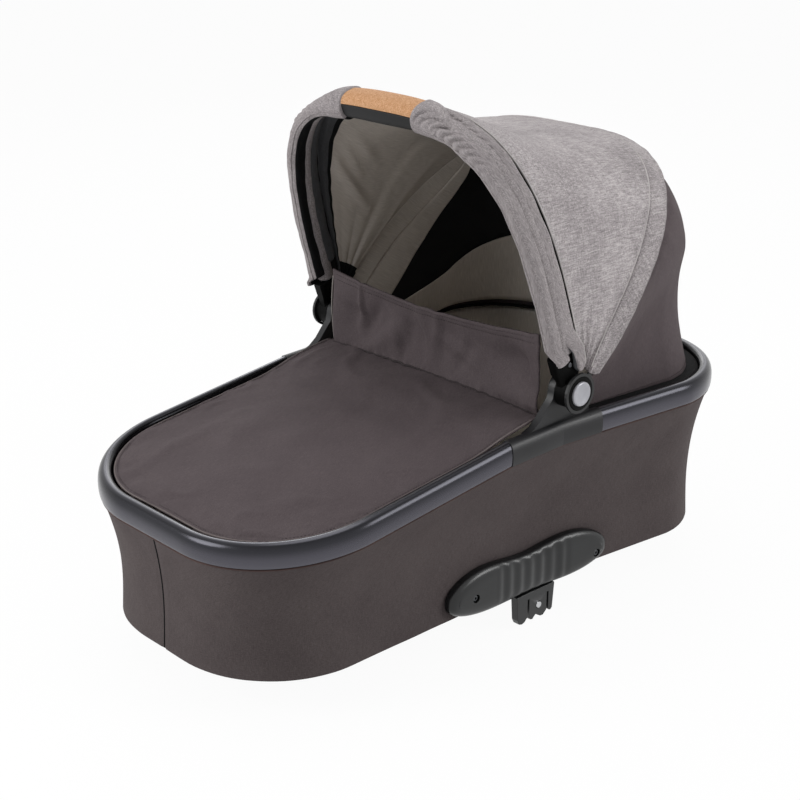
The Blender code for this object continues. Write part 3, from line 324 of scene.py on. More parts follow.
def startMaterial(name, place, settings):
    material = bpy.data.materials.new(name)
    material.use_nodes = True
    tree = material.node_tree
    tree.nodes.clear()
    addNode(tree, "OutputMaterial", {}, {"Surface": addNode(tree, "BsdfPrincipled", settings)})
    kind, fields, socket = places[place]
    return material, tree, addNode(tree, kind, fields).outputs[socket]


def texture(tree, kind, spot, scale, **settings):
    if isinstance(scale, tuple):
        spot, scale = addNode(tree, "Mapping", {"Scale": scale}, {"Vector": spot}), 1.0
    return addNode(tree, "Tex" + kind, {"Scale": scale, **settings}, {"Vector": spot})


def greater(tree, first, second):
    return addNode(tree, "Math", {"operation": "MAXIMUM"}, {0: first, 1: second})


def mixOf(tree, share, first, second):
    return addNode(tree, "Mix", {"data_type": "FLOAT", 0: share}, {2: first, 3: second})


def bumpOf(tree, strength, distance, height, under=None):
    return addNode(tree, "Bump", {"Strength": strength, "Distance": distance}, {"Height": height, "Normal": under})


def ramp(tree, source, *stops):
    return addNode(tree, "ValToRGB", {"stops": stops}, {"Fac": source})


def dress(material, colour, relief, rough=None, low=0.0, high=0.0):
    # joins colour and relief to the shader, and roughness from low to high where it follows a texture
    tree = material.node_tree
    if rough is not None:
        rough = addNode(tree, "MapRange", {"To Min": low, "To Max": high}, {"Value": rough})
    for name, source in (("Base Color", colour), ("Normal", relief), ("Roughness", rough)):
        if source is not None:
            tree.links.new(socketOf(source), tree.nodes["Principled BSDF"].inputs[name])
    return material


def wovenCloth(name, shades, slub, grain, yarn, contrast, weftShare, rough, sheen, relief, straight=False):
    # woven polyester: yarns of two shades, short slubs along the warp and a dry, slightly furry sheen
    material, tree, cloth = startMaterial(name, "grain" if straight else "cloth", {
        "Roughness": rough, "Sheen Weight": sheen, "Sheen Roughness": 0.45, "Sheen Tint": shades[2],
        "Specular IOR Level": 0.12})
    along, across = 1000 / slub[0], 1000 / slub[1]
    if straight:
        # the hood's cloth keeps its yarns level right down to the hub: its rest place is kept on its vertices
        slubScale, weftScale = (along, across, across), (across, 2 * along, 2 * along)
    else:
        slubScale, weftScale = (across, along, 1.0), (2 * along, across, 1.0)
    slubs = texture(tree, "Noise", cloth, slubScale, Detail=4.0, Roughness=0.62)
    weft = texture(tree, "Noise", cloth, weftScale, Detail=3.0, Roughness=0.6)
    yarns = mixOf(tree, weftShare, slubs, weft)
    speck = mixOf(tree, 0.30, yarns, texture(tree, "Noise", cloth, 1000 / grain, Detail=2.0))
    patch = mixOf(tree, 0.16, speck, texture(tree, "Noise", cloth, 14.0, Detail=2.0))
    shade = ramp(tree, patch, *zip((0.5 - contrast, 0.5, 0.5 + contrast), shades))
    # the yarns are drawn about three times as coarse as the real ones, or they would not show
    warp, fill = [texture(tree, "Wave", cloth, 0.31416 * 1000 / yarn, bands_direction=direction, Distortion=1.2,
                          Detail=1.0).outputs[1] for direction in "XY"]
    fuzz = bumpOf(tree, 0.35, 0.0005, yarns, bumpOf(tree, relief, 0.0004, greater(tree, warp, fill)))
    slack = texture(tree, "Noise", cloth, 45.0, Detail=3.0)
    return dress(material, shade, bumpOf(tree, 0.30, 0.0035, slack, fuzz))


# dark, middle and light shade; length and width of the slubs, grain and yarn in mm; contrast of the yarns, share
# of the weft, roughness, sheen and relief
cloths = {key: wovenCloth(*look) for key, look in {
    # warm dark grey, dry and even on the body, a little lighter and furrier on the apron and the hood's back
    "body": ("wovenPolyesterBody", ("#3c3536", "#4b4444", "#5a5352"), (9.0, 1.0), 1.3, 1.2,
             0.16, 0.5, 0.82, 0.22, 0.30),
    "apron": ("wovenPolyesterApron", ("#3f383a", "#4e4648", "#5e5657"), (9.0, 1.0), 1.3, 1.2,
              0.16, 0.5, 0.80, 0.25, 0.30),
    # melange: grey and off-white yarns spun together, which run round the hood as fine streaks
    "melange": ("melangeCanopyCloth", ("#777273", "#9d9798", "#c4bebe"), (22.0, 1.5), 1.6, 1.0,
                0.115, 0.34, 0.88, 0.14, 0.22, True),
    # melange on the sleeves: the same yarns, drawn shorter as the cloth is gathered over its padding
    "sleeve": ("melangeSleeveCloth", ("#6d6869", "#8f898a", "#b3adac"), (7.0, 1.5), 1.6, 1.0,
               0.125, 0.45, 0.88, 0.14, 0.22),
    # tape: dense black weave; twill: charcoal with a faint diagonal
    "tape": ("wovenBindingTape", ("#080809", "#0f0f10", "#1a1a1b"), (3.0, 0.9), 1.0, 0.9, 0.2, 0.5, 0.78, 0.12, 0.4),
    "twill": ("twillFacing", ("#37383a", "#48494b", "#5b5c5f"), (8.0, 0.9), 1.0, 0.9, 0.2, 0.35, 0.66, 0.2, 0.35),
}.items()}


def mouldedPlastic(name, dark, light, rough, grain, gloss, relief):
    # injection-moulded: even colour with a fine spark-eroded grain, a little glossier where handled
    material, tree, spot = startMaterial(name, "object", {"IOR": 1.5, "Specular IOR Level": gloss})
    grained = texture(tree, "Noise", spot, 1000 / grain, Detail=3.0)
    handled = texture(tree, "Noise", spot, 18.0, Detail=4.0)
    return dress(material, ramp(tree, handled, (0.3, dark), (0.7, light)), bumpOf(tree, relief, 0.0003, grained),
                 handled, rough - 0.06, rough + 0.06)


# dark and light shade, roughness, grain in mm, gloss, relief
plastic = {key: mouldedPlastic(*look) for key, look in {
    # joints and side plates shine a little along their edges, the arms stay dead black, the grip is matt
    "joint": ("glassFilledNylon", "#131315", "#1e1e20", 0.40, 0.5, 0.34, 0.20),
    "arm": ("toughenedNylon", "#040404", "#080808", 0.55, 0.5, 0.06, 0.20),
    "plate": ("satinAbs", "#0f1011", "#18191a", 0.30, 0.4, 0.42, 0.14),
    "grip": ("mattNylonGrip", "#0c0c0d", "#151516", 0.52, 0.6, 0.25, 0.25),
    # what lies underneath or inside is a duller grey with a coarser grain
    "tray": ("mouldedPolypropylene", "#1d1d1e", "#282829", 0.55, 0.8, 0.4, 0.35),
    "rubber": ("mouldedRubber", "#121212", "#1c1c1c", 0.82, 0.7, 0.25, 0.4),
    "band": ("springBand", "#0f0f10", "#19191a", 0.5, 0.6, 0.4, 0.3),
    # thread, piping and cord: spun polyester, matt with a visible twist
    "thread": ("spunThreadDark", "#2a2425", "#3a3334", 0.8, 0.3, 0.25, 0.6),
    "pipingLight": ("cordedPipingLight", "#a8a3a2", "#c6c1c0", 0.8, 0.5, 0.25, 0.6),
    "pipingTaupe": ("cordedPipingTaupe", "#5f5756", "#756d6b", 0.8, 0.5, 0.25, 0.6),
    "pipingBrown": ("cordedPipingBrown", "#3b2c2a", "#4d3a36", 0.75, 0.5, 0.25, 0.6),
    "elastic": ("braidedElastic", "#6c6764", "#918b88", 0.75, 0.6, 0.3, 0.8),
}.items()}


def workedMetal(name, metallic, dark, light, rough, grain, relief, stretch=(1.0, 1.0, 1.0)):
    # metal with the finish that its making leaves: drawn, turned, plated or sprayed over
    material, tree, spot = startMaterial(name, "object", {"Metallic": metallic})
    lines = texture(tree, "Noise", spot, tuple(1000 / grain * k for k in stretch), Detail=3.0)
    wear = texture(tree, "Noise", spot, 26.0, Detail=5.0, Roughness=0.6)
    return dress(material, ramp(tree, wear, (0.3, dark), (0.7, light)), bumpOf(tree, relief, 0.0002, lines),
                 lines, rough - 0.05, rough + 0.07)


# metallic share, dark and light shade, roughness, grain in mm, relief, and how the tool's marks are drawn out
metal = {key: workedMetal(*look) for key, look in {
    # wires with fine drawn lines, bright turned pins, rivets dark all over and a tube dulled by its zinc
    "spring": ("drawnSteel", 1.0, "#8e8f92", "#adaeb1", 0.30, 0.6, 0.15, (1.0, 1.0, 0.08)),
    "pin": ("turnedSteel", 1.0, "#a6a7a9", "#c9cacc", 0.22, 0.5, 0.12, (1.0, 0.2, 1.0)),
    "rivet": ("blackenedRivet", 1.0, "#3c3d3f", "#5c5d60", 0.34, 0.5, 0.12),
    "tube": ("zincPlatedTube", 1.0, "#7d7f82", "#9a9c9e", 0.36, 0.9, 0.1),
    # plastic sprayed with a silver lacquer whose flakes make it sparkle a little
    "lacquer": ("silverLacquer", 0.45, "#9b9ba1", "#b2b2b7", 0.36, 0.4, 0.12),
}.items()}

# lining satin: long floats that shine softly across the folds
lining, tree, cloth = startMaterial("satinLining", "cloth", {
    "Roughness": 0.38, "Sheen Weight": 0.2, "Sheen Roughness": 0.35, "Specular IOR Level": 0.40,
    "Sheen Tint": "#b5afa8"})
floats = texture(tree, "Noise", cloth, (1100.0, 60.0, 1.0), Detail=3.0)
shade = mixOf(tree, 0.35, floats, texture(tree, "Noise", cloth, 9.0, Detail=2.0))
folds = texture(tree, "Noise", cloth, 22.0, Detail=2.0, Distortion=0.6)
dress(lining, ramp(tree, shade, (0.28, "#aca49c"), (0.5, "#c1b9b0"), (0.72, "#d6cec6")),
      bumpOf(tree, 0.35, 0.006, folds, bumpOf(tree, 0.2, 0.0003, floats)))

# warp-knitted vent mesh: matt black yarn round holes of about 2 mm, the holes painted darkest as the shade seen
# through them
vent, tree, cloth = startMaterial("knittedVentMesh", "cloth", {"Roughness": 0.7, "Specular IOR Level": 0.2})
holes = texture(tree, "Voronoi", cloth, 450.0, Randomness=0.12)
dress(vent, ramp(tree, holes, (0.25, "#020202"), (0.45, "#0b0b0c"), (0.7, "#1b1b1c")),
      bumpOf(tree, 0.7, 0.0008, holes))

# agglomerated cork: pale granules of 1.5 to 3 mm with dark bark specks, pressed and sanded
cork, tree, spot = startMaterial("pressedCork", "object", {"Roughness": 0.74, "Specular IOR Level": 0.3})
granule = texture(tree, "Voronoi", spot, 720.0, Randomness=1.0)
bark = texture(tree, "Voronoi", spot, 380.0, Randomness=1.0)
tone = addNode(tree, "SeparateColor", {}, {0: granule.outputs["Color"]})
shade = ramp(tree, tone, (0.0, "#a67a52"), (0.3, "#b48760"), (0.7, "#bb8f6a"), (1.0, "#c49b78"))
speck = ramp(tree, bark.outputs["Distance"], (0.08, "#8a8a8a"), (0.18, "#000000"))
tint = addNode(tree, "Mix", {"data_type": "RGBA", 7: "#8a5a34"}, {0: speck, 6: shade})
dress(cork, tint.outputs[2], bumpOf(tree, 0.22, 0.0003, granule.outputs["Distance"]))

# cotton jersey over foam: soft off-white loops
jersey, tree, spot = startMaterial("quiltedJersey", "object", {
    "Roughness": 0.92, "Sheen Weight": 0.3, "Sheen Roughness": 0.5, "Specular IOR Level": 0.2})
loops = texture(tree, "Noise", spot, 700.0, Detail=2.0)
dress(jersey, ramp(tree, loops, (0.3, "#c9c4b9"), (0.7, "#e2ded4")), bumpOf(tree, 0.3, 0.0004, loops))
print("materials made")

camera = {"azimuth": -43.067, "elevation": 21.080, "distance": 2.0487, "lens": 70.76,
          "target": (-0.0187, 0.0, 0.2655)}
turn, tilt = math.radians(camera["azimuth"]), math.radians(camera["elevation"])
back = Vector((math.sin(turn) * math.cos(tilt), -math.cos(turn) * math.cos(tilt), math.sin(tilt)))
right = Vector((math.cos(turn), math.sin(turn), 0.0))
view = bpy.data.cameras.new("camera")
view.lens, view.sensor_width, view.clip_start = camera["lens"], 36.0, 0.01
place = Matrix((right, back.cross(right), back)).transposed().to_4x4()
place.translation = Vector(camera["target"]) + back * camera["distance"]
bpy.context.scene.camera = addObject("camera", view)
bpy.context.scene.camera.matrix_world = place
bpy.context.scene.view_settings.view_transform = "Standard"

lamps = {
    "footLamp": {"at": (-2.35, 1.05, 1.45), "size": 1.4, "power": 45.0},
    "sideLamp": {"at": (1.6, -2.35, 1.5), "size": 1.4, "power": 40.0},
    "topLamp": {"at": (-0.1, 0.0, 2.8), "size": 1.8, "power": 20.0},
    "backLamp": {"at": (2.0, 2.2, 1.8), "size": 1.5, "power": 14.0},
}
for name, lamp in lamps.items():
    light = bpy.data.lights.new(name, "AREA")
    light.shape, light.size, light.energy = "DISK", lamp["size"], lamp["power"]
    lightObject = addObject(name, light)
    lightObject.location = lamp["at"]
    lightObject.rotation_euler = (Vector(lamp["at"]) - Vector((0.0, 0.0, 0.25))).to_track_quat("Z", "Y").to_euler()


def seenRays(tree):
    # 1 for the rays that the camera sees, directly, mirrored or through something
    path = addNode(tree, "LightPath").outputs
    return greater(tree, path["Is Camera Ray"], greater(tree, path["Is Glossy Ray"], path["Is Transmission Ray"]))


world = bpy.data.worlds.new("studio")
bpy.context.scene.world = world
world.use_nodes = True
sky = world.node_tree
sky.nodes.clear()
soft, plain = [addNode(sky, "Background", {"Color": "#ffffff", "Strength": strength}) for strength in (0.40, 1.0)]
both = addNode(sky, "MixShader", {}, {0: seenRays(sky), 1: soft, 2: plain})
addNode(sky, "OutputWorld", {}, {"Surface": both})

# floor: white vinyl, which keeps the soft shadow and is lifted to the backdrop's white for the camera
vinyl, tree, spot = startMaterial("floorVinyl", "object", {"Base Color": "#f2f2f2", "Roughness": 0.7})
lift = addNode(tree, "Math", {"operation": "MULTIPLY", 1: 0.95}, {0: seenRays(tree)})
glow = addNode(tree, "Emission", {"Color": "#ffffff", "Strength": 1.0})
both = addNode(tree, "MixShader", {}, {0: lift, 1: tree.nodes["Principled BSDF"], 2: glow})
tree.links.new(both.outputs[0], tree.nodes["Material Output"].inputs["Surface"])
bm = bmesh.new()
bmesh.ops.create_grid(bm, x_segments=2, y_segments=2, size=7.0)
floor = addObject("floor", meshOf("floor", bm))
floor.data.materials.append(vinyl)
floor.location = (0.0, 0.0, -0.0002)
print("camera, light and floor made")


def halfOutline(length, halves, footCorner, headCorner, shift=0.0):
    # x, y and the way inward, from the middle of the foot end along the left side to that of the head end
    ends, corners = [], []
    for sign, wide, (rx, ry) in ((-1, halves[0], footCorner), (1, halves[2], headCorner)):
        straight = np.linspace(0.0, (wide - ry) * 0.9, cot["endSteps"])
        ends.append([(sign * length / 2, y, -sign, 0.0) for y in straight])
        turns = np.linspace(0.0, pi / 2, cot["cornerSteps"])
        inward = unit(np.stack([-sign * np.cos(turns) / rx, -np.sin(turns) / ry], axis=1))
        corners.append(np.column_stack([sign * (length / 2 - rx + rx * np.cos(turns)), wide - ry + ry * np.sin(turns),
                                        inward]))
    bends = (footCorner[0] - length / 2, cot["widenFrom"], length / 2 - headCorner[0])
    y, ahead, behind = [np.interp(stations + step, bends, halves) for step in (0.0, 0.02, -0.02)]
    inward = unit(np.stack([(ahead - behind) / 0.04, -np.ones_like(y)], axis=1))
    return np.concatenate([ends[0], corners[0], np.column_stack([stations, y, inward]), corners[1][::-1],
                           ends[1][::-1]]) + (shift, 0.0, 0.0, 0.0)


def acrossEnd(half):
    # half an outline, on past its end and back along the other side
    half = np.asarray(half)
    return np.concatenate([half, half[-2::-1] * np.array([1, -1, 1, -1])[:half.shape[1]]])


def closedLoop(half):
    half[[0, -1], 1] = 0.0
    return acrossEnd(half)[:-1]


def rimLow(x):
    return np.interp(x, (-cot["length"] / 2, cot["jointFoot"], cot["jointHead"], cot["length"] / 2),
                     (cot["rimFootZ"], cot["rimJointZ"], cot["rimJointZ"] + 0.005, cot["rimHeadZ"]))


def wallLoop(level, inset, shape, lowZ, topLift):
    # one ring of the wall, from level 0 on the floor to 1 under the rim
    waist = cot["waist"] * math.sin(pi * level)
    b, r = [path[:, :2] + path[:, 2:] * (step + waist) for path, step in zip((basePath, rimPath), inset)]
    z = lowZ + (rimLow(rimPath[:, 0]) + topLift - lowZ) * level
    return closedLoop(np.column_stack([b + (r - b) * level ** shape, z]))


def wallY(x, z):
    # how far out the body's side lies at x and at height z
    baseY, rimY = [np.interp(x, path[sideSpan, 0], path[sideSpan, 1]) for path in (basePath, rimPath)]
    level = np.maximum(0.0, (z - cot["floor"]) / (rimLow(x) - cot["floor"]))
    return toward(baseY, rimY - 0.003, level ** cot["flare"]) - cot["waist"] * hump(level)


def levelOut(rows):
    # level directions out of each ring of points
    away = rows - rows.mean(axis=1, keepdims=True)
    return unit(away * (1.0, 1.0, 0.0))


# outline of the cot, the same lines as its solids
half = cot["gap"] / 2
joints = [cot[joint] + step for joint in ("jointFoot", "jointHead") for step in (-half, half)]
stations = np.array(sorted(list(np.linspace(-0.245, 0.255, cot["sideSteps"])) + joints))
halves = np.array([cot["footHalf"], cot["jointHalf"], cot["headHalf"]])
rimPath = halfOutline(cot["length"], halves, cot["footCorner"], cot["headCorner"])
basePath = halfOutline(cot["length"] - cot["insetFoot"] - cot["insetHead"], halves - cot["insetSide"],
                       *[np.array(cot[corner]) - 0.5 * cot["insetSide"] for corner in ("footCorner", "headCorner")],
                       (cot["insetFoot"] - cot["insetHead"]) / 2)
sideStart = cot["endSteps"] + cot["cornerSteps"]
sideSpan = slice(sideStart - 1, sideStart + len(stations) + 1)

body = {"thickness": 0.0022, "wave": 0.0011, "waveSize": 0.085, "seamDepth": 0.0016, "seamWidth": 0.0022}
levels = np.concatenate([[0.0, 0.012, 0.03], np.linspace(0.06, 0.96, 26), [0.98, 1.0]])
wallRows = np.array([wallLoop(0.0, (0.008, 0.0), cot["flare"], cot["floor"], -cot["gap"])] + [
    wallLoop(level, (0.003 if level < 0.01 else 0.0, 0.003), cot["flare"], cot["floor"], -cot["gap"])
    for level in levels])
wallRows[:2, :, 2] = cot["floor"] + cot["gap"]
wallOut = levelOut(wallRows)
height = np.concatenate([[0.0], levels])[:, None]
move = wrinkles(wallRows, (body["wave"], ripple, body["waveSize"], 3.0, (1.0, 1.0, 0.6), hump(height, 0.6)),
                (0.9 * body["wave"], ripple, 0.05, 11.0, fromAbove, bell(height, 0.03, 0.16)),
                (0.0009, creaseNet, 0.11, 31.0, (1.0, 1.0, 0.55), hump(height, 0.5)))
move -= body["seamDepth"] * bell(wallRows[:, :, 1], 0.0, body["seamWidth"]) * (wallRows[:, :, 0] < 0)
move[[0, 1, -1]] = 0.0
wallRows = wallRows + wallOut * move[:, :, None]
bodyShell = addPiece("body_cloth", wallRows, cloths["body"], "fabric_outer", "cot", ["side_wall"],
                     thickness=body["thickness"], closed=True, inside=(0.0, 0.0, 0.15))
rimBinding = addPiping("rim_binding", joined(wallRows[-1] + (0.0, 0.0, -0.0006) + wallOut[-1] * 0.0006), 0.0010,
                       plastic["pipingBrown"], "fabric_outer", "cot", 6)
seamStitches = addStitches("foot_seam_stitches", wallRows[3:-1, 0] + (-0.0001, 0.0019, 0.0), "fabric_outer", "cot")
# painted shadow: a thin black cord along the foot seam stands in for the shade in its groove
seamShadowLine = addPiping("foot_seam_shadow_line", wallRows[2:-1, 0] + (-0.0002, 0.0, 0.0), 0.0010, cloths["tape"],
                     "fabric_outer", "cot", 6)
declareCloth(bodyShell, joined(wallRows, 1))

linerLevels = np.linspace(0.0, 1.0, 22)
linerRows = np.array([wallLoop(level, (0.013, 0.0195), 1.8, cot["floor"] + 0.0085, 0.0152) for level in linerLevels])
slack = (1 + ripple(linerRows, 0.06, 5.0)) * hump(linerLevels, 0.7)[:, None]
linerRows = linerRows - levelOut(linerRows) * (0.0003 + 0.0010 * slack)[:, :, None]
innerLiner = addPiece("inner_lining", linerRows, lining, "lining", "cot", ["inner_liner"], thickness=0.0012,
                      closed=True, inside=(0.0, 0.0, 0.15))
declareCloth(innerLiner, joined(linerRows, 1))
print("body cloth and lining made")

mattress = {"levels": ((0.0, 0.040), (0.0004, 0.030), (0.003, 0.0235), (0.008, 0.0215), (0.014, 0.0225),
                       (0.020, 0.0232), (0.027, 0.0225), (0.033, 0.0215), (0.0372, 0.0245), (0.0398, 0.034),
                       (0.0412, 0.055), (0.0424, 0.085), (0.0432, 0.120)),
            "piping": (("lower", 0.0035), ("upper", 0.0368)), "floor": cot["floor"] + 0.0087,
            "voxel": 0.006, "pressure": 4.0, "frames": 20, "cap": 0.006, "quilt": 0.064, "quiltDepth": 0.0022}


def padLoop(lift, inset):
    # one ring of the mattress, inside the outline of the floor
    shrink = np.where(inset > 0.03, np.minimum(inset, 0.9 * np.maximum(basePath[:, 1], 0.0) + 0.024), inset)
    return closedLoop(np.column_stack([basePath[:, 0] + basePath[:, 2] * inset,
                                       np.maximum(basePath[:, 1] + basePath[:, 3] * shrink, 0.0),
                                       np.full(len(basePath), mattress["floor"] + lift)]))


def withModifiers(piece):
    return piece.evaluated_get(bpy.context.evaluated_depsgraph_get())


def vertexPlaces(mesh):
    values = np.zeros(len(mesh.vertices) * 3, dtype=np.float32)
    mesh.vertices.foreach_get("co", values)
    return values.reshape(-1, 3)


mattressPiece = addPiece("mattress_pad", [padLoop(*level) for level in mattress["levels"]], jersey, "mattress_cover",
                         "cot", ["mattress"], smooth=70.0, closed=True, capped=True)
# padding presses the cover out: a voxel copy is blown up as cloth, and its result is kept
blank = mattressPiece.modifiers.new("voxels", "REMESH")
blank.mode, blank.voxel_size = "VOXEL", mattress["voxel"]
bpy.context.view_layer.update()
mesh = bpy.data.meshes.new_from_object(withModifiers(mattressPiece))
mattressPiece.modifiers.clear()
mattressPiece.data = mesh
rest = vertexPlaces(mesh)
shift = np.zeros_like(rest)
cloth = mattressPiece.modifiers.new("cloth", "CLOTH")
cloth.settings.use_pressure, cloth.settings.uniform_pressure_force = True, mattress["pressure"]
cloth.settings.effector_weights.gravity, cloth.settings.quality = 0.0, 4
for frameNumber in range(1, mattress["frames"] + 1):
    bpy.context.scene.frame_set(frameNumber)
shift = vertexPlaces(withModifiers(mattressPiece).data) - rest
mattressPiece.modifiers.clear()
bpy.context.scene.frame_set(1)
size = np.linalg.norm(shift, axis=1)[:, None]
shift *= np.minimum(1.0, mattress["cap"] / np.maximum(size, 1e-6))
print("mattress puffed by up to %.1f mm" % (1000 * float(np.minimum(size, mattress["cap"]).max())))
# it stays on the tray and between the linings, and is quilted in diamonds
shift[:, 2] = np.maximum(shift[:, 2], 0.0) * ease((rest[:, 2] - mattress["floor"] - 0.018) / 0.012)
shift[:, :2] = np.clip(shift[:, :2], -0.0012, 0.0012)
spots = rest + shift
quilting = sum(bell(np.sin(pi * diagonal / mattress["quilt"]), 0.0, 0.16)
               for diagonal in (spots[:, 0] + spots[:, 1], spots[:, 0] - spots[:, 1]))
onTop = ease((spots[:, 2] - mattress["floor"] - 0.036) / 0.004)
spots[:, 2] -= mattress["quiltDepth"] * np.minimum(quilting, 1.0) * onTop
mesh.vertices.foreach_set("co", spots.astype(np.float32).ravel())
mesh.update()
mesh.shade_smooth()
finer = mattressPiece.modifiers.new("soft", "SUBSURF")
finer.levels = finer.render_levels = 1
for word, lift in mattress["piping"]:
    addPiping("mattress_piping_" + word, joined(padLoop(lift, 0.0212)), 0.0014, plastic["pipingLight"],
              "mattress_cover", "cot", 6)

refinedCopy("floor_tray", "base_tray", plastic["tray"], "tray_plastic", "cot", 0.0006)
for side, word in bothSides:
    refinedCopy("skid_" + word, "stand_rail_" + word, plastic["tray"], "rail_plastic", "cot", 0.0010)
    reclad(plastic["rubber"], "pad_foot_" + word, "pad_head_" + word)
    reclad(metal["spring"], "stay_foot_" + word, "stay_head_" + word)
print("mattress, tray and skids made")


def softened(section):
    # cut the corners of a closed outline twice, so that it rolls like an extruded profile
    section = np.array(section)
    for again in range(2):
        ahead = np.roll(section, -1, axis=0)
        section = np.stack([0.75 * section + 0.25 * ahead, 0.25 * section + 0.75 * ahead], axis=1).reshape(-1, 2)
    return section


def extruded(path, profile):
    # a profile, in steps inward and up from the foot of the rim, drawn along an outline
    inward, up = np.array(profile).T
    return np.stack([path[:, :1] + path[:, 2:3] * inward, path[:, 1:2] + path[:, 3:] * inward,
                     rimLow(path[:, :1]) + up], axis=2)


rimSection = softened(((0.0010, 0.0), (0.0, 0.004), (-0.0004, 0.011), (0.0, 0.018), (0.0015, 0.0240),
                       (0.0050, 0.0285), (0.0095, 0.0302), (0.0140, 0.0292), (0.0174, 0.0262), (0.0180, 0.0195),
                       (0.0230, 0.0196), (0.0230, 0.0160), (0.0175, 0.0156), (0.0150, 0.0)))
bandHalf = pathLength(joined(rimSection)) / 2
# extruded aluminium, anodised gunmetal, with light painted round the band: a painted reflection makes the outer side
# lighter low down, painted shade darkens the bend and the inside, and a painted highlight runs along the rolled edge
rimMetalPaintedLight, tree, cloth = startMaterial("anodisedAluminiumPaintedLight", "cloth", {"Metallic": 0.80})
across = addNode(tree, "SeparateXYZ", {}, {0: cloth})
around = addNode(tree, "MapRange", {"From Min": -bandHalf, "From Max": bandHalf}, {"Value": across})
# painted light by place round the band: reflection low on the side, shade over the bend and inside, a highlight on the
# rolled edge
shade = ramp(tree, around, (0.0, "#57565d"), (0.13, "#4c4b52"), (0.22, "#343439"), (0.31, "#232327"),
             (0.350, "#3d3d42"), (0.378, "#84848a"), (0.400, "#3a3a3f"), (0.430, "#19191c"))
lines = texture(tree, "Noise", addNode(tree, "TexCoord").outputs["Object"], 900.0, Detail=2.0)
dress(rimMetalPaintedLight, shade, bumpOf(tree, 0.05, 0.0001, lines), lines, 0.19, 0.24)

footHalf = rimPath[rimPath[:, 0] < cot["jointFoot"]][::-1]
headHalf = rimPath[rimPath[:, 0] > cot["jointHead"]]
for end, halfPath in (("foot", footHalf), ("head", headHalf)):
    addPiece("rim_%s_end" % end, extruded(acrossEnd(halfPath), rimSection), rimMetalPaintedLight, "rim_metal", "cot",
             [end + "_rim"], smooth=60.0, closed=True, capped=True)
for side, word in bothSides:
    refinedCopy("joint_housing_" + word, "rim_joint_" + word, plastic["joint"], "joint_plastic", "cot", 0.0007)
    reclad(metal["pin"], "pivot_pin_" + word, "lock_gear_" + word)

trim = {"out": 0.0186, "in": 0.0430, "top": 0.0231, "stitchIn": 0.0225}
trimSection = softened((
    (trim["out"], cot["ledge"] + 0.0003), (trim["out"], trim["top"]),
    (0.5 * (trim["out"] + trim["in"]), trim["top"] + 0.0006), (trim["in"], trim["top"]),
    (trim["in"], cot["ledge"] + 0.0003)))
addPiece("head_trim_band", extruded(acrossEnd(headHalf), trimSection), cloths["tape"], "trim_black", "cot",
         ["head_trim"], smooth=70.0, closed=True, capped=True)
trimLine = extruded(acrossEnd(headHalf), [(trim["stitchIn"], trim["top"] + 0.0002)])[:, 0]
addStitches("head_trim_stitches", trimLine, "trim_black", "cot")
print("rim made")

handle = {"lean": -17.0, "halfWidth": postOuter + 0.006, "reach": 0.3435, "square": 3.4, "armTop": 0.052,
          "gripHalfLength": 0.0665, "grip": (0.0175, 0.0205), "bore": 0.0090}


def frameAt(angle):
    # the ways up and over for something that leans towards the head end
    a = math.radians(angle)
    return np.array([math.sin(a), 0.0, math.cos(a)]), np.array([math.cos(a), 0.0, -math.sin(a)])


def outwardAlong(points):
    # directions out of the arch, in its own plane, along a run of its points
    out = np.cross(unit(np.gradient(points, axis=0)), leanOver)
    return out * np.sign(np.sum(out * (points - hinge - leanUp * 0.15), axis=1))[:, None]


leanUp, leanOver = frameAt(handle["lean"])
phi = np.linspace(pi / 2, -pi / 2, 2401)
s = handle["reach"] * np.abs(np.cos(phi)) ** (2 / handle["square"])
sideways = handle["halfWidth"] * rounded(np.sin(phi), 2 / handle["square"])
bow = hinge + np.outer(s, leanUp) + np.outer(sideways, (0, 1, 0))
bow = spread(bow[s >= 0.040], 481)

sleeve = {
    # half sizes of the two padded lobes, out of the arch and across it, their middles, and how wide they end
    "front": {"half": (0.0106, 0.0130), "across": -0.0104, "low": 0.0100, "ends": (0.050, 0.0465), "shut": 0.002},
    "roll": {"half": (0.0114, 0.0114), "across": 0.0098, "low": 0.0142, "ends": (0.048, 0.036, 0.030, 0.0245),
             "shut": 0.010},
    "steps": 330, "around": 44, "collar": (0.0188, 0.0228), "collarReach": 0.052, "gather": 0.0056,
    "gatherPitch": 0.0120, "crease": 0.0046, "piping": 0.0010, "overlap": 0.006, "core": 0.0116,
    "creases": ((0.016, 0.020, 0.0017), (0.030, 0.030, 0.0021), (0.047, 0.022, 0.0017)),
}


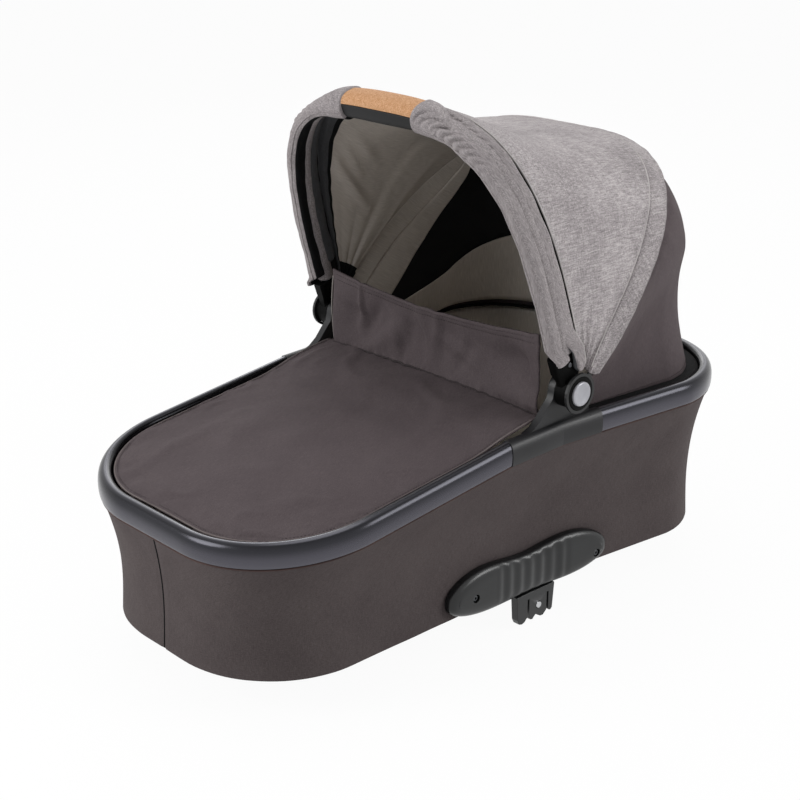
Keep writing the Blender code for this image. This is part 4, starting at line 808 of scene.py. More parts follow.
def lobeRows(side, kind):
    # rings of one padded lobe of a sleeve, from the grip down to the hub
    look = sleeve[kind]
    run = bow[(side * bow[:, 1] > handle["gripHalfLength"] - sleeve["overlap"])
              & ((bow - hinge) @ leanUp > handle["armTop"] + 0.0012)][::-side]
    run = spread(np.concatenate([run, [hinge + leanUp * s + (0.0, run[-1][1], 0.0) for s in look["ends"]]]),
                 sleeve["steps"])
    out = outwardAlong(run)
    reach = ((run - hinge) @ leanUp)[:, None]
    out[reach[:, 0] < 0.09] = (0.0, side, 0.0)
    # q runs along the lobe, r out of the arch and w across it, towards the head end
    q = runLengths(run)[:, None]
    # lower down the roll takes more of the width and the front lobe less
    down = ease((0.28 - reach) / 0.14)
    halfAcross, middleAcross = toward(look["half"][1], look["low"], down), look["across"] - 0.0026 * down
    if kind == "roll":
        onArm = 1 - ease((reach - 0.053) / 0.030)
        halfOut, middleOut = toward(look["half"][0], 0.0043, onArm), 0.0139 * onArm
        halfAcross, middleAcross = toward(halfAcross, 0.0094, onArm), toward(middleAcross, 0.0132, onArm)
    else:
        # at the grip the front lobe widens into the padded collar that covers the end of the cork
        onArm, atGrip = 1 - ease((reach - 0.0525) / 0.014), 1 - ease((q - 0.010) / sleeve["collarReach"])
        halfOut = toward(toward(look["half"][0], 0.0033, onArm), sleeve["collar"][0], atGrip)
        middleOut = 0.0128 * onArm
        halfAcross, middleAcross = toward(halfAcross, sleeve["collar"][1], atGrip), toward(middleAcross, 0.0, atGrip)
    swell = 1.0 + 0.012 * np.sin(31.0 * q + 2 * side)
    ends = np.minimum(np.sqrt(q / 0.004 + 0.62), np.sqrt((q[-1] - q) / look["shut"] + 0.02))
    turns = np.linspace(0.0, 2 * pi, sleeve["around"], endpoint=False)[None, :]
    c, s = np.cos(turns), np.sin(turns)
    r, w = rounded(c, 0.82), rounded(s, 0.82)
    # slanting gathers along the lower edge, and a few sharp creases that run from the collar's mouth
    phase = 2 * pi * q / sleeve["gatherPitch"] - 8.0 * w + 0.8 * np.sin(40 * q)
    gather = (sleeve["gather"] * bell(q, 0.068, 0.044) * ease((q - 0.012) / 0.03) * np.maximum(0.0, 0.25 - w) ** 0.7
              * (np.abs(np.sin(phase / 2)) - 0.62) * np.maximum(0.0, 0.4 + 0.6 * c))
    gather += 0.0007 * np.exp(-q / 0.24) * np.sin(2 * pi * q / 0.019 + 3.0 * w) * np.maximum(0.0, c) * (w < 0.2)
    crease = -sum(bell(q, start + slant * (w + 0.6), wide) for start, slant, wide in sleeve["creases"])
    crease = crease * np.maximum(0.0, 0.45 - w) * np.maximum(0.0, c)
    if side > 0:
        gather, crease = 0.45 * gather, 0.5 * crease
    fold = 0.0013 * ripple(np.stack(np.broadcast_arrays(q / 0.026, 1.1 * c, 1.1 * s + 7 * side), axis=2), 1.0, 0.0)
    grow = np.minimum(1.0, ends) * (1.0 + (gather + sleeve["crease"] * crease + fold) / halfOut)
    return (run[:, None] + out[:, None] * (middleOut + r * halfOut * swell * grow)[..., None]
            + leanOver * (middleAcross + w * halfAcross * (0.5 + 0.5 * swell) * grow)[..., None])


def innerFace(i, j):
    # the side of the front lobe that faces the child is a black tape
    return 0.31 < j < 0.63


def innerRoll(i, j):
    # the roll is twill from the child's side round to the tape
    return 0.27 < j < 0.80


for side, word in bothSides:
    core = bow[(side * bow[:, 1] > handle["gripHalfLength"] + 0.001)
               & ((bow - hinge) @ leanUp > handle["armTop"] + 0.002)]
    addPiping("sleeve_core_" + word, spread(core, 90), sleeve["core"], cloths["sleeve"], "melange", "handle", 20)
    # a black heel of padding closes the gap between the arm and the hood's edge
    armSide = (0.0, core[core[:, 2].argmin(), 1], 0.0)
    heel = hinge + leanOver * 0.0125 + np.outer(np.linspace(0.060, 0.104, 16), leanUp) + armSide
    addPiping("sleeve_heel_" + word, heel, 0.0092, cloths["tape"], "trim_black", "handle", 16)
    for kind, inner, paint, nodes in (("front", "tape", innerFace, ["sleeve_" + word]),
                                      ("roll", "twill", innerRoll, ())):
        rows = lobeRows(side, kind)
        lobe = addPiece("sleeve_%s_%s" % (kind, word), rows, [cloths["sleeve"], cloths[inner]], "melange", "handle",
                        nodes, smooth=75.0, closed=True, capped=True, paint=paint)
        if kind == "roll":
            # a light cord along the roll: partly piping, partly painted highlight on its edge
            addPiping("sleeve_highlight_piping_" + word, spread(rows[4:-6, int(sleeve["around"] * 0.22)], 90), sleeve["piping"],
                      plastic["pipingLight"], "melange", "handle")
        else:
            addPiping("sleeve_front_piping_" + word, spread(rows[3:-4, int(sleeve["around"] * 0.735)], 90), 0.0009,
                      cloths["sleeve"], "melange", "handle")

gripRun = spread(bow[np.abs(bow[:, 1]) < handle["gripHalfLength"]], 41)
gripOut = outwardAlong(gripRun)


def gripRows(start, end, count):
    # sections of the grip between two angles round the bow, hollow for the tube
    turns = np.radians(np.linspace(start, end, count))[None, :]
    bulge = 1.0 - 0.06 * (gripRun[:, 1:2] / handle["gripHalfLength"]) ** 2
    outStep, overStep = [
        np.concatenate([rounded(k, 0.8) * size * bulge, k[:, ::-1] * handle["bore"] * np.ones_like(bulge)], axis=1)
        for k, size in zip((np.sin(turns), np.cos(turns)), handle["grip"])]
    return gripRun[:, None] + gripOut[:, None] * outStep[..., None] + leanOver * overStep[..., None]


addPiece("cork_grip", gripRows(18.0, 162.0, 49), cork, "cork", "handle", ["grip_cork"], bevel=0.0014, closed=True,
         capped=True)
addPiece("grip_shell", gripRows(163.5, 376.5, 33), plastic["grip"], "grip_plastic", "handle", ["grip_underside"],
         bevel=0.0014, closed=True, capped=True)
reclad(metal["tube"], "handle_tube")

button = {"profile": ((0.0, 0.0016), (0.0060, 0.0017), (0.0105, 0.0022), (0.0128, 0.0030), (0.0143, 0.0030),
                      (0.0152, 0.0023), (0.0155, 0.0012)), "radius": 0.0155, "inner": 0.2335, "steps": 56}
for side, word in bothSides:
    refinedCopy("handle_hub_" + word, "handle_end_" + word, plastic["arm"], "joint_plastic", "handle", 0.0006)
    reclad(metal["rivet"], "arm_rivet_" + word)
    bm = bmesh.new()
    profile = [(r, hubOuter + d) for r, d in button["profile"]]
    profile += [(button["radius"], button["inner"]), (0.0, button["inner"])]
    verts = [bm.verts.new((hinge[0] + r, side * y, hinge[2])) for r, y in profile]
    edges = [bm.edges.new(pair) for pair in zip(verts[:-1], verts[1:])]
    bmesh.ops.spin(bm, geom=verts + edges, cent=(hinge[0], 0.0, hinge[2]), axis=(0.0, 1.0, 0.0),
                   angle=2 * pi, steps=button["steps"], use_merge=True, use_duplicate=False)
    bmesh.ops.remove_doubles(bm, verts=bm.verts, dist=0.00001)
    bmesh.ops.recalc_face_normals(bm, faces=bm.faces)
    addPiece("button_cap_" + word, bm, metal["lacquer"], "button_silver", "button_" + word,
             ["pivot_button_" + word], smooth=45.0)
print("handle made")

hood = {
    # half width, reach from the hinge and squareness of the arches, and their angles at the top and at the hub
    "front": (handle["halfWidth"] + 0.0070, handle["reach"] + 0.0035, 3.4), "frontAcross": 0.0232,
    "seam": (handle["halfWidth"] + 0.0085, handle["reach"] + 0.0055, 3.3), "seamAngles": (40.0, 30.0),
    "strip": (handle["halfWidth"] + 0.0265, handle["reach"] + 0.0245, 2.8), "stripAngles": (46.0, 55.0),
    "lowHalf": hubOuter + 0.0005, "lowReach": 0.150, "start": 0.036, "sag": 0.054, "columns": 201,
    "cloth": 0.0022, "lining": 0.0012, "liningDepth": 0.0083, "overlap": 0.0016, "pucker": 0.0019,
    "hubFold": 0.0022, "wave": 0.0013, "guard": 0.027, "fold": 42.0, "skirtStart": 0.106, "skirtInset": 0.0345,
    "underStrip": 0.24,
}


def hoodArch(angles, shape, depth, across=0.0):
    # one arch of the hood, which bends from its first angle to its second near the hub
    halfWidth, reach, square = shape
    phi = np.linspace(pi / 2, -pi / 2, 1441)
    s = (reach - depth) * np.abs(np.cos(phi)) ** (2 / square)
    y = halfWidth * np.abs(np.sin(phi)) ** (2 / square) - depth * np.abs(np.sin(phi))
    low = np.maximum(0.0, 1.0 - s / hood["lowReach"]) ** 1.5
    if angles[0] > 0:
        y = y + (hood["lowHalf"] - halfWidth) * low
    angle = np.radians(toward(angles[0], angles[1], low))
    arch = hinge + np.stack([s * np.sin(angle) + across * np.cos(angle), np.copysign(y, phi),
                             s * np.cos(angle) - across * np.sin(angle)], axis=1)
    return spread(arch[s >= hood["start"]], hood["columns"])


def polar(points):
    # angle from upright and distance, seen from the hinge line
    x, z = points[..., 0] - hinge[0], points[..., 2] - hinge[2]
    return np.arctan2(x, z), np.hypot(x, z)


def between(first, last, turns):
    # rows of cloth from one arch to the next, sagging towards the hinge where they are far apart
    (angleA, reachA), (angleB, reachB) = polar(first), polar(last)
    wide = np.clip((angleB - angleA) / math.radians(45.0) - 0.3, 0.0, 1.0)
    rows = []
    for t in turns:
        angle, r = toward(angleA, angleB, t), toward(reachA, reachB, t)
        r = r - hood["sag"] * math.sin(pi * t) * wide * (r / 0.32) ** 2
        y = toward(first[:, 1], last[:, 1], t)
        rows.append(hinge + np.stack([r * np.sin(angle), y, r * np.cos(angle)], axis=1))
    return np.array(rows)


def frontCloth(depth, turns):
    return between(hoodArch((handle["lean"],) * 2, hood["front"], depth, hood["frontAcross"]),
                   hoodArch(hood["seamAngles"], hood["seam"], depth), turns)


def stripCloth(depth, turns):
    return between(hoodArch(hood["seamAngles"], hood["seam"], depth),
                   hoodArch(hood["stripAngles"], hood["strip"], depth), turns)


def satinCloth(depth, turns):
    # turns past 1 lie under the strip
    onFront = turns <= 1.0
    return np.concatenate([frontCloth(depth, turns[onFront]),
                           stripCloth(depth, (turns[~onFront] - 1.0) / hood["underStrip"])])


def skirtLine(depth):
    # where the rear cloth ends on the trim, and the way inward there
    inset, start = hood["skirtInset"] + depth, hood["skirtStart"]
    side = rimPath[sideSpan]
    line = np.concatenate([[(start, float(np.interp(start, side[:, 0], side[:, 1])) - inset, 0.0, -1.0)],
                           np.column_stack([headHalf[:, :2] + headHalf[:, 2:] * inset, headHalf[:, 2:]])])
    line[-1, 1:] = (0.0, -1.0, 0.0)
    line = acrossEnd(line)
    points = np.column_stack([line[:, :2], rimLow(line[:, 0]) + trim["top"] + 0.0009])
    return spread(points, hood["columns"]), spread(line[:, 2:], hood["columns"], points)


def rearCloth(depth, turns):
    up, over = frameAt(hood["stripAngles"][0])
    strip = hoodArch(hood["stripAngles"], hood["strip"], depth)
    points, directions = skirtLine(depth)
    span = np.linalg.norm(points - strip, axis=1)[:, None]
    tall = np.clip((strip - hinge) @ up / 0.28, None, 1.0)[:, None]
    b = strip + over * span * (0.06 + 0.56 * np.maximum(tall, 0.0) ** 2.2)
    c = points + np.concatenate([directions * 0.052 * tall, span * (0.45 + 0.32 * tall)], axis=1)
    return np.array([strip * (1 - t) ** 3 + b * 3 * (1 - t) ** 2 * t + c * 3 * (1 - t) * t * t + points * t ** 3
                     for t in turns])


def liftedRows(maker, depth, turns, lift):
    # rows of one panel, each vertex moved out of the cloth by its own lift
    rows = maker(depth, turns)
    return rows + unit(rows - maker(depth + 0.006, turns)) * lift[:, :, None]


def fromEnd(rows):
    # distance of each vertex along its row from the nearer hub
    run = np.array([runLengths(row) for row in rows])
    return np.minimum(run, run[:, -1:] - run)


def hubFolds(rows, reach, waves, start):
    # folds that the hubs draw into the cloth
    return hood["hubFold"] * np.exp(-fromEnd(rows) / reach) * np.sin(2 * pi * waves + start)


def closeTurns(*parts):
    # turns that lie closer together where the cloth is sewn
    return np.concatenate([np.linspace(start, end, count, endpoint=False) for start, end, count in parts[:-1]]
                          + [np.linspace(*parts[-1])])


def foldShare(rows, turns, clearance):
    # share of the hood's turn that keeps each vertex above the trim when the hood is folded down
    angle, reach = polar(rows)
    floorZ = rimLow(rows[:, :, 0]) + trim["top"] + clearance - hinge[2]
    lowest = np.arccos(np.clip(floorZ / np.maximum(reach, 0.01), -1.0, 1.0))
    return np.minimum(1.0 - turns, np.clip((lowest - angle) / math.radians(hood["fold"]), 0.0, 1.0))


# canopy: front panel and strip are one sheet, folded over at the seam between them
frontTurns = closeTurns((0.0, 0.03, 5), (0.03, 0.95, 44), (0.95, 0.99, 8), (0.99, 1.0, 4))
stripTurns = closeTurns((0.02, 0.10, 5), (0.10, 0.86, 12), (0.86, 0.965, 7))
plain, t = frontCloth(0.0, frontTurns), frontTurns[:, None]
lift = wrinkles(plain, (hood["wave"], ripple, 0.095, 1.0, (1.0, 0.6, 1.0), hump(t, 0.7)),
                (0.0004, ripple, 0.012, 9.0, even, bell(t, 0.0, 0.05) + bell(t, 0.97, 0.035)))
lift += hubFolds(plain, 0.055, 4.2 * t, 0.6) * hump(t, 0.5) + 0.0006 * bell(t, 0.012, 0.012)
lift += hood["overlap"] * ease((t - 0.955) / 0.02) - 0.0022 * ease((t - 0.992) / 0.006)
frontRows = liftedRows(frontCloth, 0.0, frontTurns, lift)
plain, t = stripCloth(0.0, stripTurns), stripTurns[:, None]
lift = wrinkles(plain, (0.5 * hood["pucker"], ripple, 0.014, 2.0, even, bell(t, 0.05, 0.10) + bell(t, 0.93, 0.08)))
lift += 0.8 * hubFolds(plain, 0.05, 1.5 * t, 0.4) + hood["overlap"] * ease((t - 0.80) / 0.10)
lift += 0.0014 * ease((t - 0.10) / 0.25) * ease((0.98 - t) / 0.1) - 0.0019 * (1 - ease((t - 0.02) / 0.10))
stripRows = liftedRows(stripCloth, 0.0, stripTurns, lift)
canopyRows = np.concatenate([frontRows, stripRows])
# the lower ends reach past the arches' feet in a rounded tip
along = np.concatenate([0.75 * frontTurns, 0.75 + 0.25 * stripTurns])[:, None]
tip = 0.0075 * np.exp(-fromEnd(canopyRows) / 0.008) * ease(along / 0.55) * ease((1.02 - along) / 0.16)
canopyRows = canopyRows - unit((canopyRows - hinge) * (1.0, 0.0, 1.0)) * tip[:, :, None]
canopyShare = np.concatenate([np.minimum(frontTurns / 0.985, 1.0), np.ones(len(stripTurns))])[:, None]
front, rear = {"inside": (0.15, 0.0, 0.35), "smooth": 60.0}, {"inside": (0.2, 0.0, 0.35), "smooth": 60.0}
canopy = addPiece("hood_canopy", canopyRows, cloths["melange"], "melange", None, ["hood_front_panel", "hood_strip"],
                  hood["cloth"], fan=fans["front"], share=canopyShare, **front)
canopyPipings = [addPiping(name, spread(row, 260), radius, material, "melange", rides, around)
                 for name, row, radius, material, rides, around in (
    # the seam's light cord is partly painted highlight, the lit edge of the front panel folded over the strip
    ("hood_seam_highlight_piping", frontRows[-5], 0.0008, plastic["pipingLight"], "rear_hood", 6),
    ("hood_strip_piping", stripRows[-1], 0.0009, cloths["sleeve"], "rear_hood", 6),
    ("hood_front_piping", frontRows[0], 0.0010, plastic["pipingLight"], "handle", 6))]
declareCloth(canopy, canopyRows)

# rear panel: plain dark cloth from under the strip down to the trim of the head rim
rearTurns = closeTurns((0.0, 0.05, 6), (0.05, 0.94, 44), (0.94, 1.0, 6))
plain, t = rearCloth(0.0, rearTurns), rearTurns[:, None]
lift = wrinkles(plain, (1.3 * hood["wave"], ripple, 0.085, 21.0, (1.0, 0.7, 1.0), hump(t, 0.6)),
                (0.0016, creaseNet, 0.10, 77.0, (1.0, 0.9, 0.5), hump(t, 0.5)))
alongStrip = np.zeros((1, hood["columns"], 3))
alongStrip[0, :, 0] = np.linspace(0.0, pathLength(plain[0]), hood["columns"])
puckers = 0.45 - 2.2 * np.abs(ripple(alongStrip, 0.026, 0.37)) + 0.5 * ripple(alongStrip, 0.045, 5.71)
lift += hood["pucker"] * 1.5 * puckers * (np.exp(-t / 0.10) + 0.25 * np.exp(-(1 - t) / 0.04)) * ease(t / 0.03)
lift -= 0.0034 * (1 - ease((t - 0.01) / 0.06))
# it lies a little deeper beside the hubs, so it stays under the strip when the hood is down
lift -= 0.0032 * bell(fromEnd(plain), 0.10, 0.07) * (1 - ease((t - 0.10) / 0.30))
rearRows = liftedRows(rearCloth, 0.0, rearTurns, lift)
rearPanel = addPiece("hood_rear_cloth", rearRows, cloths["apron"], "fabric_outer", None, ["hood_rear_panel"],
                     hood["cloth"], fan=fans["rear"], share=foldShare(rearRows, t, 0.002), **rear)
hemLine = rearRows[-2]
hemStitches = addStitches("hood_hem_stitches", hemLine + (hemLine - plain.mean(axis=(0, 1))) * 0.004, "fabric_outer",
                          "cot")
declareCloth(rearPanel, rearRows)
print("canopy made")

# inside of the hood: twill facing behind the handle, satin lining, mesh gores, satin again to the rim
turns = np.linspace(0.004, 0.112, 19)
plain, t = frontCloth(0.0045, turns), turns[:, None]
lift = 0.0009 * np.sin(ripple(plain, 0.05, 4.0) * 3 + plain[:, :, 1] * 220 + plain[:, :, 2] * 260)
lift = 0.8 * (lift - 0.0062 * ease((t - 0.030) / 0.022))
facingRows = liftedRows(frontCloth, 0.0050, turns, lift)
facing = addPiece("hood_facing", facingRows, [cloths["twill"], cloths["tape"]], "trim_black", None, (), 0.0012,
                  fan=fans["front"], share=t, paint=lambda i, j: i > 0.70, **front)
facingEdge = addPiping("hood_facing_binding", spread(facingRows[0], 220), 0.0030, cloths["tape"], "trim_black",
                       "handle")
declareCloth(facing, facingRows)

# satin: one sheet from the facing to the rear bow, its hem laid over the start of the mesh
turns = np.concatenate([np.linspace(0.05, 1.0, 44), 1.0 + hood["underStrip"] * np.linspace(0.08, 1.0, 12)])
plain, t = satinCloth(hood["liningDepth"], turns), turns[:, None]
arc = hump(np.clip((t - 0.05) / 1.19, 0.0, 1.0))
lift = -wrinkles(plain, (0.0020, ripple, 0.11, 14.0, (1.0, 1.0, 0.7), arc ** 0.8),
                 (0.0012, creaseNet, 0.085, 90.0, (1.0, 1.0, 0.6), arc))
lift -= 0.0020 * arc ** 0.8 + 0.0024 * ease((t - 0.74) / 0.06)
lift -= 0.0032 * np.exp(-fromEnd(plain) / 0.12) * np.abs(np.sin(2 * pi * 2.1 * t)) * arc
for first, last, tall, wide in (((2, 46), (26, 28), 0.0095, 0.0080), ((7, 58), (22, 46), 0.0060, 0.009),
                                ((6, 52), (17, 40), 0.0045, 0.006), ((8, 160), (24, 172), 0.0060, 0.008),
                                ((14, 90), (26, 118), 0.0035, 0.012)):
    lift -= tall * foldAlong(plain, plain[first], plain[last], wide) * ease((t - 0.09) / 0.07)
guard = fromEnd(plain) < hood["guard"]


def guardPaint(i, j):
    # black tape close to the hubs
    return guard[round(i * (guard.shape[0] - 1)), round(j * (guard.shape[1] - 1))]


liningRows = liftedRows(satinCloth, hood["liningDepth"], turns, lift)
liningFront = addPiece("hood_lining_front", liningRows, [lining, cloths["tape"]], "lining", None, ["lining_front"],
                       hood["lining"], fan=fans["front"], share=np.minimum(t, 1.0), paint=guardPaint, **front)
declareCloth(liningFront, liningRows)

turns = np.concatenate([np.linspace(0.805, 1.0, 12), 1.0 + hood["underStrip"] * np.linspace(0.05, 0.95, 12)])
meshRows = satinCloth(hood["liningDepth"], turns)
meshUnder = addPiece("hood_mesh_under_satin", meshRows, vent, "mesh", None, ["lining_mesh_front", "lining_mesh_rear"],
                     0.0008, fan=fans["front"], share=np.minimum(turns, 1.0)[:, None], **front)
declareCloth(meshUnder, meshRows)

# behind the bow: a satin gusset with a sewn band, the mesh window down to the back, satin again to the rim
window = {"edge": ((0, 0.76), (10, 0.655), (20, 0.555), (30, 0.445), (40, 0.305), (50, 0.155), (60, 0.03),
                   (100, 0.03)),
          "low": ((0, 0.765), (12, 0.775), (24, 0.792), (35, 0.797), (42, 0.765), (48, 0.742), (100, 0.736)),
          "seam": 0.50}
nearHub = np.minimum(np.arange(hood["columns"]), hood["columns"] - 1 - np.arange(hood["columns"]))
windowEdge, windowLow = [np.interp(nearHub, *zip(*window[key])) for key in ("edge", "low")]
for again in range(2):
    windowLow = np.convolve(np.pad(windowLow, 5, "edge"), np.ones(11) / 11, "valid")
seam = window["seam"]
gussetParts = np.concatenate([np.linspace(0.0, seam - 0.02, 14), [seam - 0.007, seam + 0.002],
                              np.linspace(seam + 0.014, 1.0, 14)])[:, None]


def insidePiece(name, turns, depth, lift, materials, slot, nodes=(), paint=None):
    # one panel of the hood's inside behind the rear bow
    rows = liftedRows(rearCloth, depth, turns[:, :, None], lift)
    piece = addPiece(name, rows, materials, slot, None, nodes, hood["lining"], fan=fans["rear"],
                     share=foldShare(rows, turns, 0.001), paint=paint, **rear)
    declareCloth(piece, rows)


def seamPaint(i, j):
    # the row of the seam is thread
    return abs(i - 14 / (len(gussetParts) - 1)) < 0.01


turns, part = gussetParts * windowEdge, gussetParts
plain = rearCloth(hood["liningDepth"], turns[:, :, None])
lift = -0.0024 + 0.0024 * part - 0.0012 * ease((part - seam) / 0.01) + 0.0012 * bell(part, seam, 0.02)
lift = lift - 0.0009 * np.abs(ripple(plain, 0.016, 3.3, (1.4, 1.0, 0.5))) * bell(part, 0.82, 0.16)
lift -= 0.0015 * creaseNet(plain, 0.07, 57.0) * bell(part, 0.3, 0.25)
insidePiece("hood_lining_gusset", turns, hood["liningDepth"], lift, [lining, plastic["thread"]], "lining",
            paint=seamPaint)
turns = toward(windowEdge - 0.010, windowLow + 0.008, np.linspace(0.0, 1.0, 24)[:, None])
insidePiece("hood_mesh_window", turns, hood["liningDepth"] - 0.0016, np.zeros(turns.shape), vent, "mesh")
part = np.linspace(0.0, 1.0, 20)[:, None]
turns = toward(windowLow, 0.985, part)
plain = rearCloth(hood["liningDepth"], turns[:, :, None])
lift = -0.0012 * (1 + ripple(plain, 0.06, 41.0)) * hump(part, 0.7) - 0.0008 * (1 - ease((part - 0.06) / 0.02))
lift -= 0.0012 * creaseNet(plain, 0.06, 23.0, (1.0, 1.0, 0.5)) * hump(part)
insidePiece("hood_lining_rear", turns, hood["liningDepth"], lift, lining, "lining", ["lining_rear"])
reclad(plastic["band"], "rear_bow")
print("hood lining made")

apron = {"edge": 0.0198, "foldX": 0.034, "foldLift": 0.016, "dome": 0.012, "foldDome": 0.004, "cloth": 0.003,
         "hem": 0.0060, "rows": 120, "columns": 121, "wrinkle": 0.0016, "crowd": 1.7}
coverEdge = rimPath[:, :2] + rimPath[:, 2:] * apron["edge"]
coverEdge = coverEdge[coverEdge[:, 0] < 0.20]
coverEdge[0, 1] = 0.0
coverStart = coverEdge[0, 0] + 0.0001
coverLength = apron["foldX"] - coverStart


def coverHalf(x):
    return np.interp(x, *coverEdge[7:].T)


def coverTop(x, y):
    # height of the apron: flat on the rim, domed, and lifted towards its fold
    t = np.clip((x - coverStart) / coverLength, 0.0, 1.0) ** (1 / apron["crowd"])
    v = y / np.maximum(coverHalf(x), 1e-5)
    dome = toward(apron["dome"], apron["foldDome"], ease((x - apron["foldX"] + 0.16) / 0.16))
    dome *= np.maximum(0.0, 1 - v * v)
    lift = apron["foldLift"] * ease((x + 0.10) / (apron["foldX"] + 0.10))
    return rimLow(x) + cot["ledge"] + cot["gap"] + dome * np.minimum(1.0, t * 2.5) ** 0.8 + lift + apron["cloth"]


t = np.linspace(0.0, 1.0, apron["rows"])[:, None]
v = np.sin(pi / 2 * np.linspace(-1.0, 1.0, apron["columns"]))[None, :]
x = (coverStart + coverLength * t ** apron["crowd"]) * np.ones_like(v)
y = coverHalf(x) * v
apronRows = np.stack([x, y, coverTop(x, y)], axis=2)
edgeLine = acrossEnd(coverEdge[::-1])
edgeLine = edgeLine[edgeLine[:, 0] <= apron["foldX"] + 0.01]
toEdge = np.sqrt(((apronRows[:, :, None, :2] - edgeLine) ** 2).sum(axis=3)).min(axis=2)
rise = wrinkles(apronRows, (apron["wrinkle"], ripple, 0.055, 8.0, fromAbove, ease(toEdge / 0.01)),
                (0.0016, ripple, 0.022, 18.0, fromAbove, bell(toEdge, 0.018, 0.016)),
                (0.0026, creaseNet, 0.095, 63.0, (1.0, 0.8, 0.0), ease(toEdge / 0.012)),
                (0.0021, creaseNet, 0.045, 48.0, fromAbove, bell(toEdge, 0.030, 0.028)),
                (0.0016, ripple, 0.018, 28.0, (0.5, 1.0, 0.0), bell(x, apron["foldX"], 0.02) * ease(toEdge / 0.01)))
rise += 0.0007 * (1 - ease((toEdge - apron["hem"] * 0.75) / 0.0015))
rise -= 0.0006 * bell(toEdge, apron["hem"] + 0.0008, 0.0011)
apronRows[:, :, 2] += rise
apronPiece = addPiece("apron_cover", apronRows, cloths["apron"], "fabric_outer", "cot", ["apron"], 0.0024,
                      smooth=60.0, inside=(-0.2, 0.0, 0.0))


def edgeRun(inset, above):
    # a line inside the cover's edge, from its right rear corner round the foot end to its left one
    path = rimPath[:np.argmax(rimPath[:, 0] > apron["foldX"] - 0.002)]
    x, y = (path[:, :2] + path[:, 2:] * (apron["edge"] + inset)).T
    y = np.maximum(0.0, y)
    return acrossEnd(np.stack([x, y, coverTop(x, y) + above], axis=1)[::-1])


apronStitches = addStitches("apron_hem_stitches", edgeRun(0.0045, 0.0008), "fabric_outer", "cot")
apronPiping = addPiping("apron_piping", spread(edgeRun(0.0012, 0.0006), 320), 0.0009, plastic["pipingTaupe"],
                        "fabric_outer", "cot", 6)
declareCloth(apronPiece, apronRows)

flap = {"height": 0.092, "halfWidth": 0.186, "rightEnd": 0.198, "cloth": 0.0030, "rows": 44, "columns": 161,
        "crease": 0.0026, "hems": (0.875, 0.935),
        # start and end of each fold across and up from the root, its depth and its width
        "folds": (((-0.105, 0.058), (-0.215, 0.050), 0.0085, 0.017), ((-0.110, 0.018), (-0.180, 0.015), -0.004, 0.012),
                  ((0.130, 0.020), (0.095, 0.075), 0.0050, 0.010), ((0.050, 0.015), (0.035, 0.070), 0.0045, 0.011),
                  ((-0.045, 0.012), (-0.080, 0.065), 0.0048, 0.011), ((0.165, 0.060), (0.105, 0.040), 0.0042, 0.009),
                  ((-0.010, 0.058), (-0.085, 0.034), -0.0045, 0.010),
                  ((-0.140, 0.078), (-0.205, 0.030), 0.0062, 0.010))}
foldZ = float(rimLow(apron["foldX"])) + cot["ledge"] + cot["gap"] + apron["cloth"] + apron["foldLift"]
t = np.linspace(0.0, 1.0, flap["rows"])[:, None]
v = np.linspace(-1.0, 1.0, flap["columns"])[None, :]
wide = np.where(v < 0, flap["rightEnd"], flap["halfWidth"])
low = foldZ + apron["foldDome"] * (1 - (wide * v / float(coverHalf(apron["foldX"]))) ** 2) + 0.0004
high = foldZ + flap["height"] + 0.014 * v * v
x = (apron["foldX"] - 0.0048 + 0.010 * hump(t) * (1 - v * v) + 0.0016 * np.sin(9.0 * v + 4.0 * t) * hump(t)
     - 0.0030 * ease((-v - 0.84) / 0.08) * ease(t / 0.1))
flapRows = np.stack([x, (wide - 0.002 * hump(t)) * v, toward(low, high, t)], axis=2)
forward = wrinkles(flapRows, (1.3 * flap["crease"], ripple, 0.040, 51.0, (0.0, 1.0, 0.45), hump(t, 0.6)),
                   (0.0030, ripple, 0.009, 61.0, (0.0, 1.0, 0.3), bell(t, 0.0, 0.10)),
                   (0.0064, creaseNet, 0.060, 71.0, (0.0, 1.0, 0.40), hump(t, 0.6)))
flapRows[:, :, 0] -= forward + 0.0008 * ease((t - 0.885) / 0.012) - 0.0006 * bell(t, 0.875, 0.010)
for (ya, za), (yb, zb), deep, across in flap["folds"]:
    fold = foldAlong(flapRows * (0.0, 1.0, 1.0), (0.0, ya, foldZ + za), (0.0, yb, foldZ + zb), across)
    flapRows[:, :, 0] += deep * fold * ease(t / 0.08)
# no fold reaches the cord behind its right end
atCord = ease((-flapRows[:, :, 1] - 0.174) / 0.010)
flapRows[:, :, 0] -= atCord * np.maximum(flapRows[:, :, 0] - apron["foldX"] + 0.0046, 0.0)
flapPiece = addPiece("apron_wind_flap", flapRows, cloths["apron"], "fabric_outer", None, ["apron_flap"],
                     flap["cloth"], smooth=60.0, inside=(0.6, 0.0, 0.3),
                     fan=("cot", "flap", (0.030, 0.0, foldZ), (0.030, 0.0, foldZ + 0.012)),
                     share=ease((flapRows[:, :, 2] - foldZ) / 0.012))
flapSeams = [addStitches("flap_hem_stitches_%d" % (number + 1), flapRows[int(flap["rows"] * up), 3:-3]
                         + (-0.0003, 0.0, 0.0), "fabric_outer", "flap") for number, up in enumerate(flap["hems"])]
# a thick dark cord along the flap's root: partly the seam, partly painted shadow where the flap meets the apron
flapSeams.append(addPiping("flap_root_seam_shadow", flapRows[0] + (-0.0006, 0.0, 0.0006), 0.0013, plastic["thread"],
                           "fabric_outer", "cot", 6))
declareCloth(flapPiece, flapRows)

for side, word in bothSides:
    t = np.linspace(0.0, 1.0, 17)
    run = np.stack([np.full(17, apron["foldX"] - (0.003 if side > 0 else -0.0005)),
                    side * (flap["halfWidth"] + 0.0014 + 0.004 * hump(t)), foldZ + 0.006 + 0.090 * t], axis=1)
    cord = addPiece("flap_elastic_" + word, tubeRows(run, 0.0011, 10), plastic["elastic"], "cord", "flap",
                    ["flap_cord_" + word], closed=True, capped=True)
print("apron and flap made")

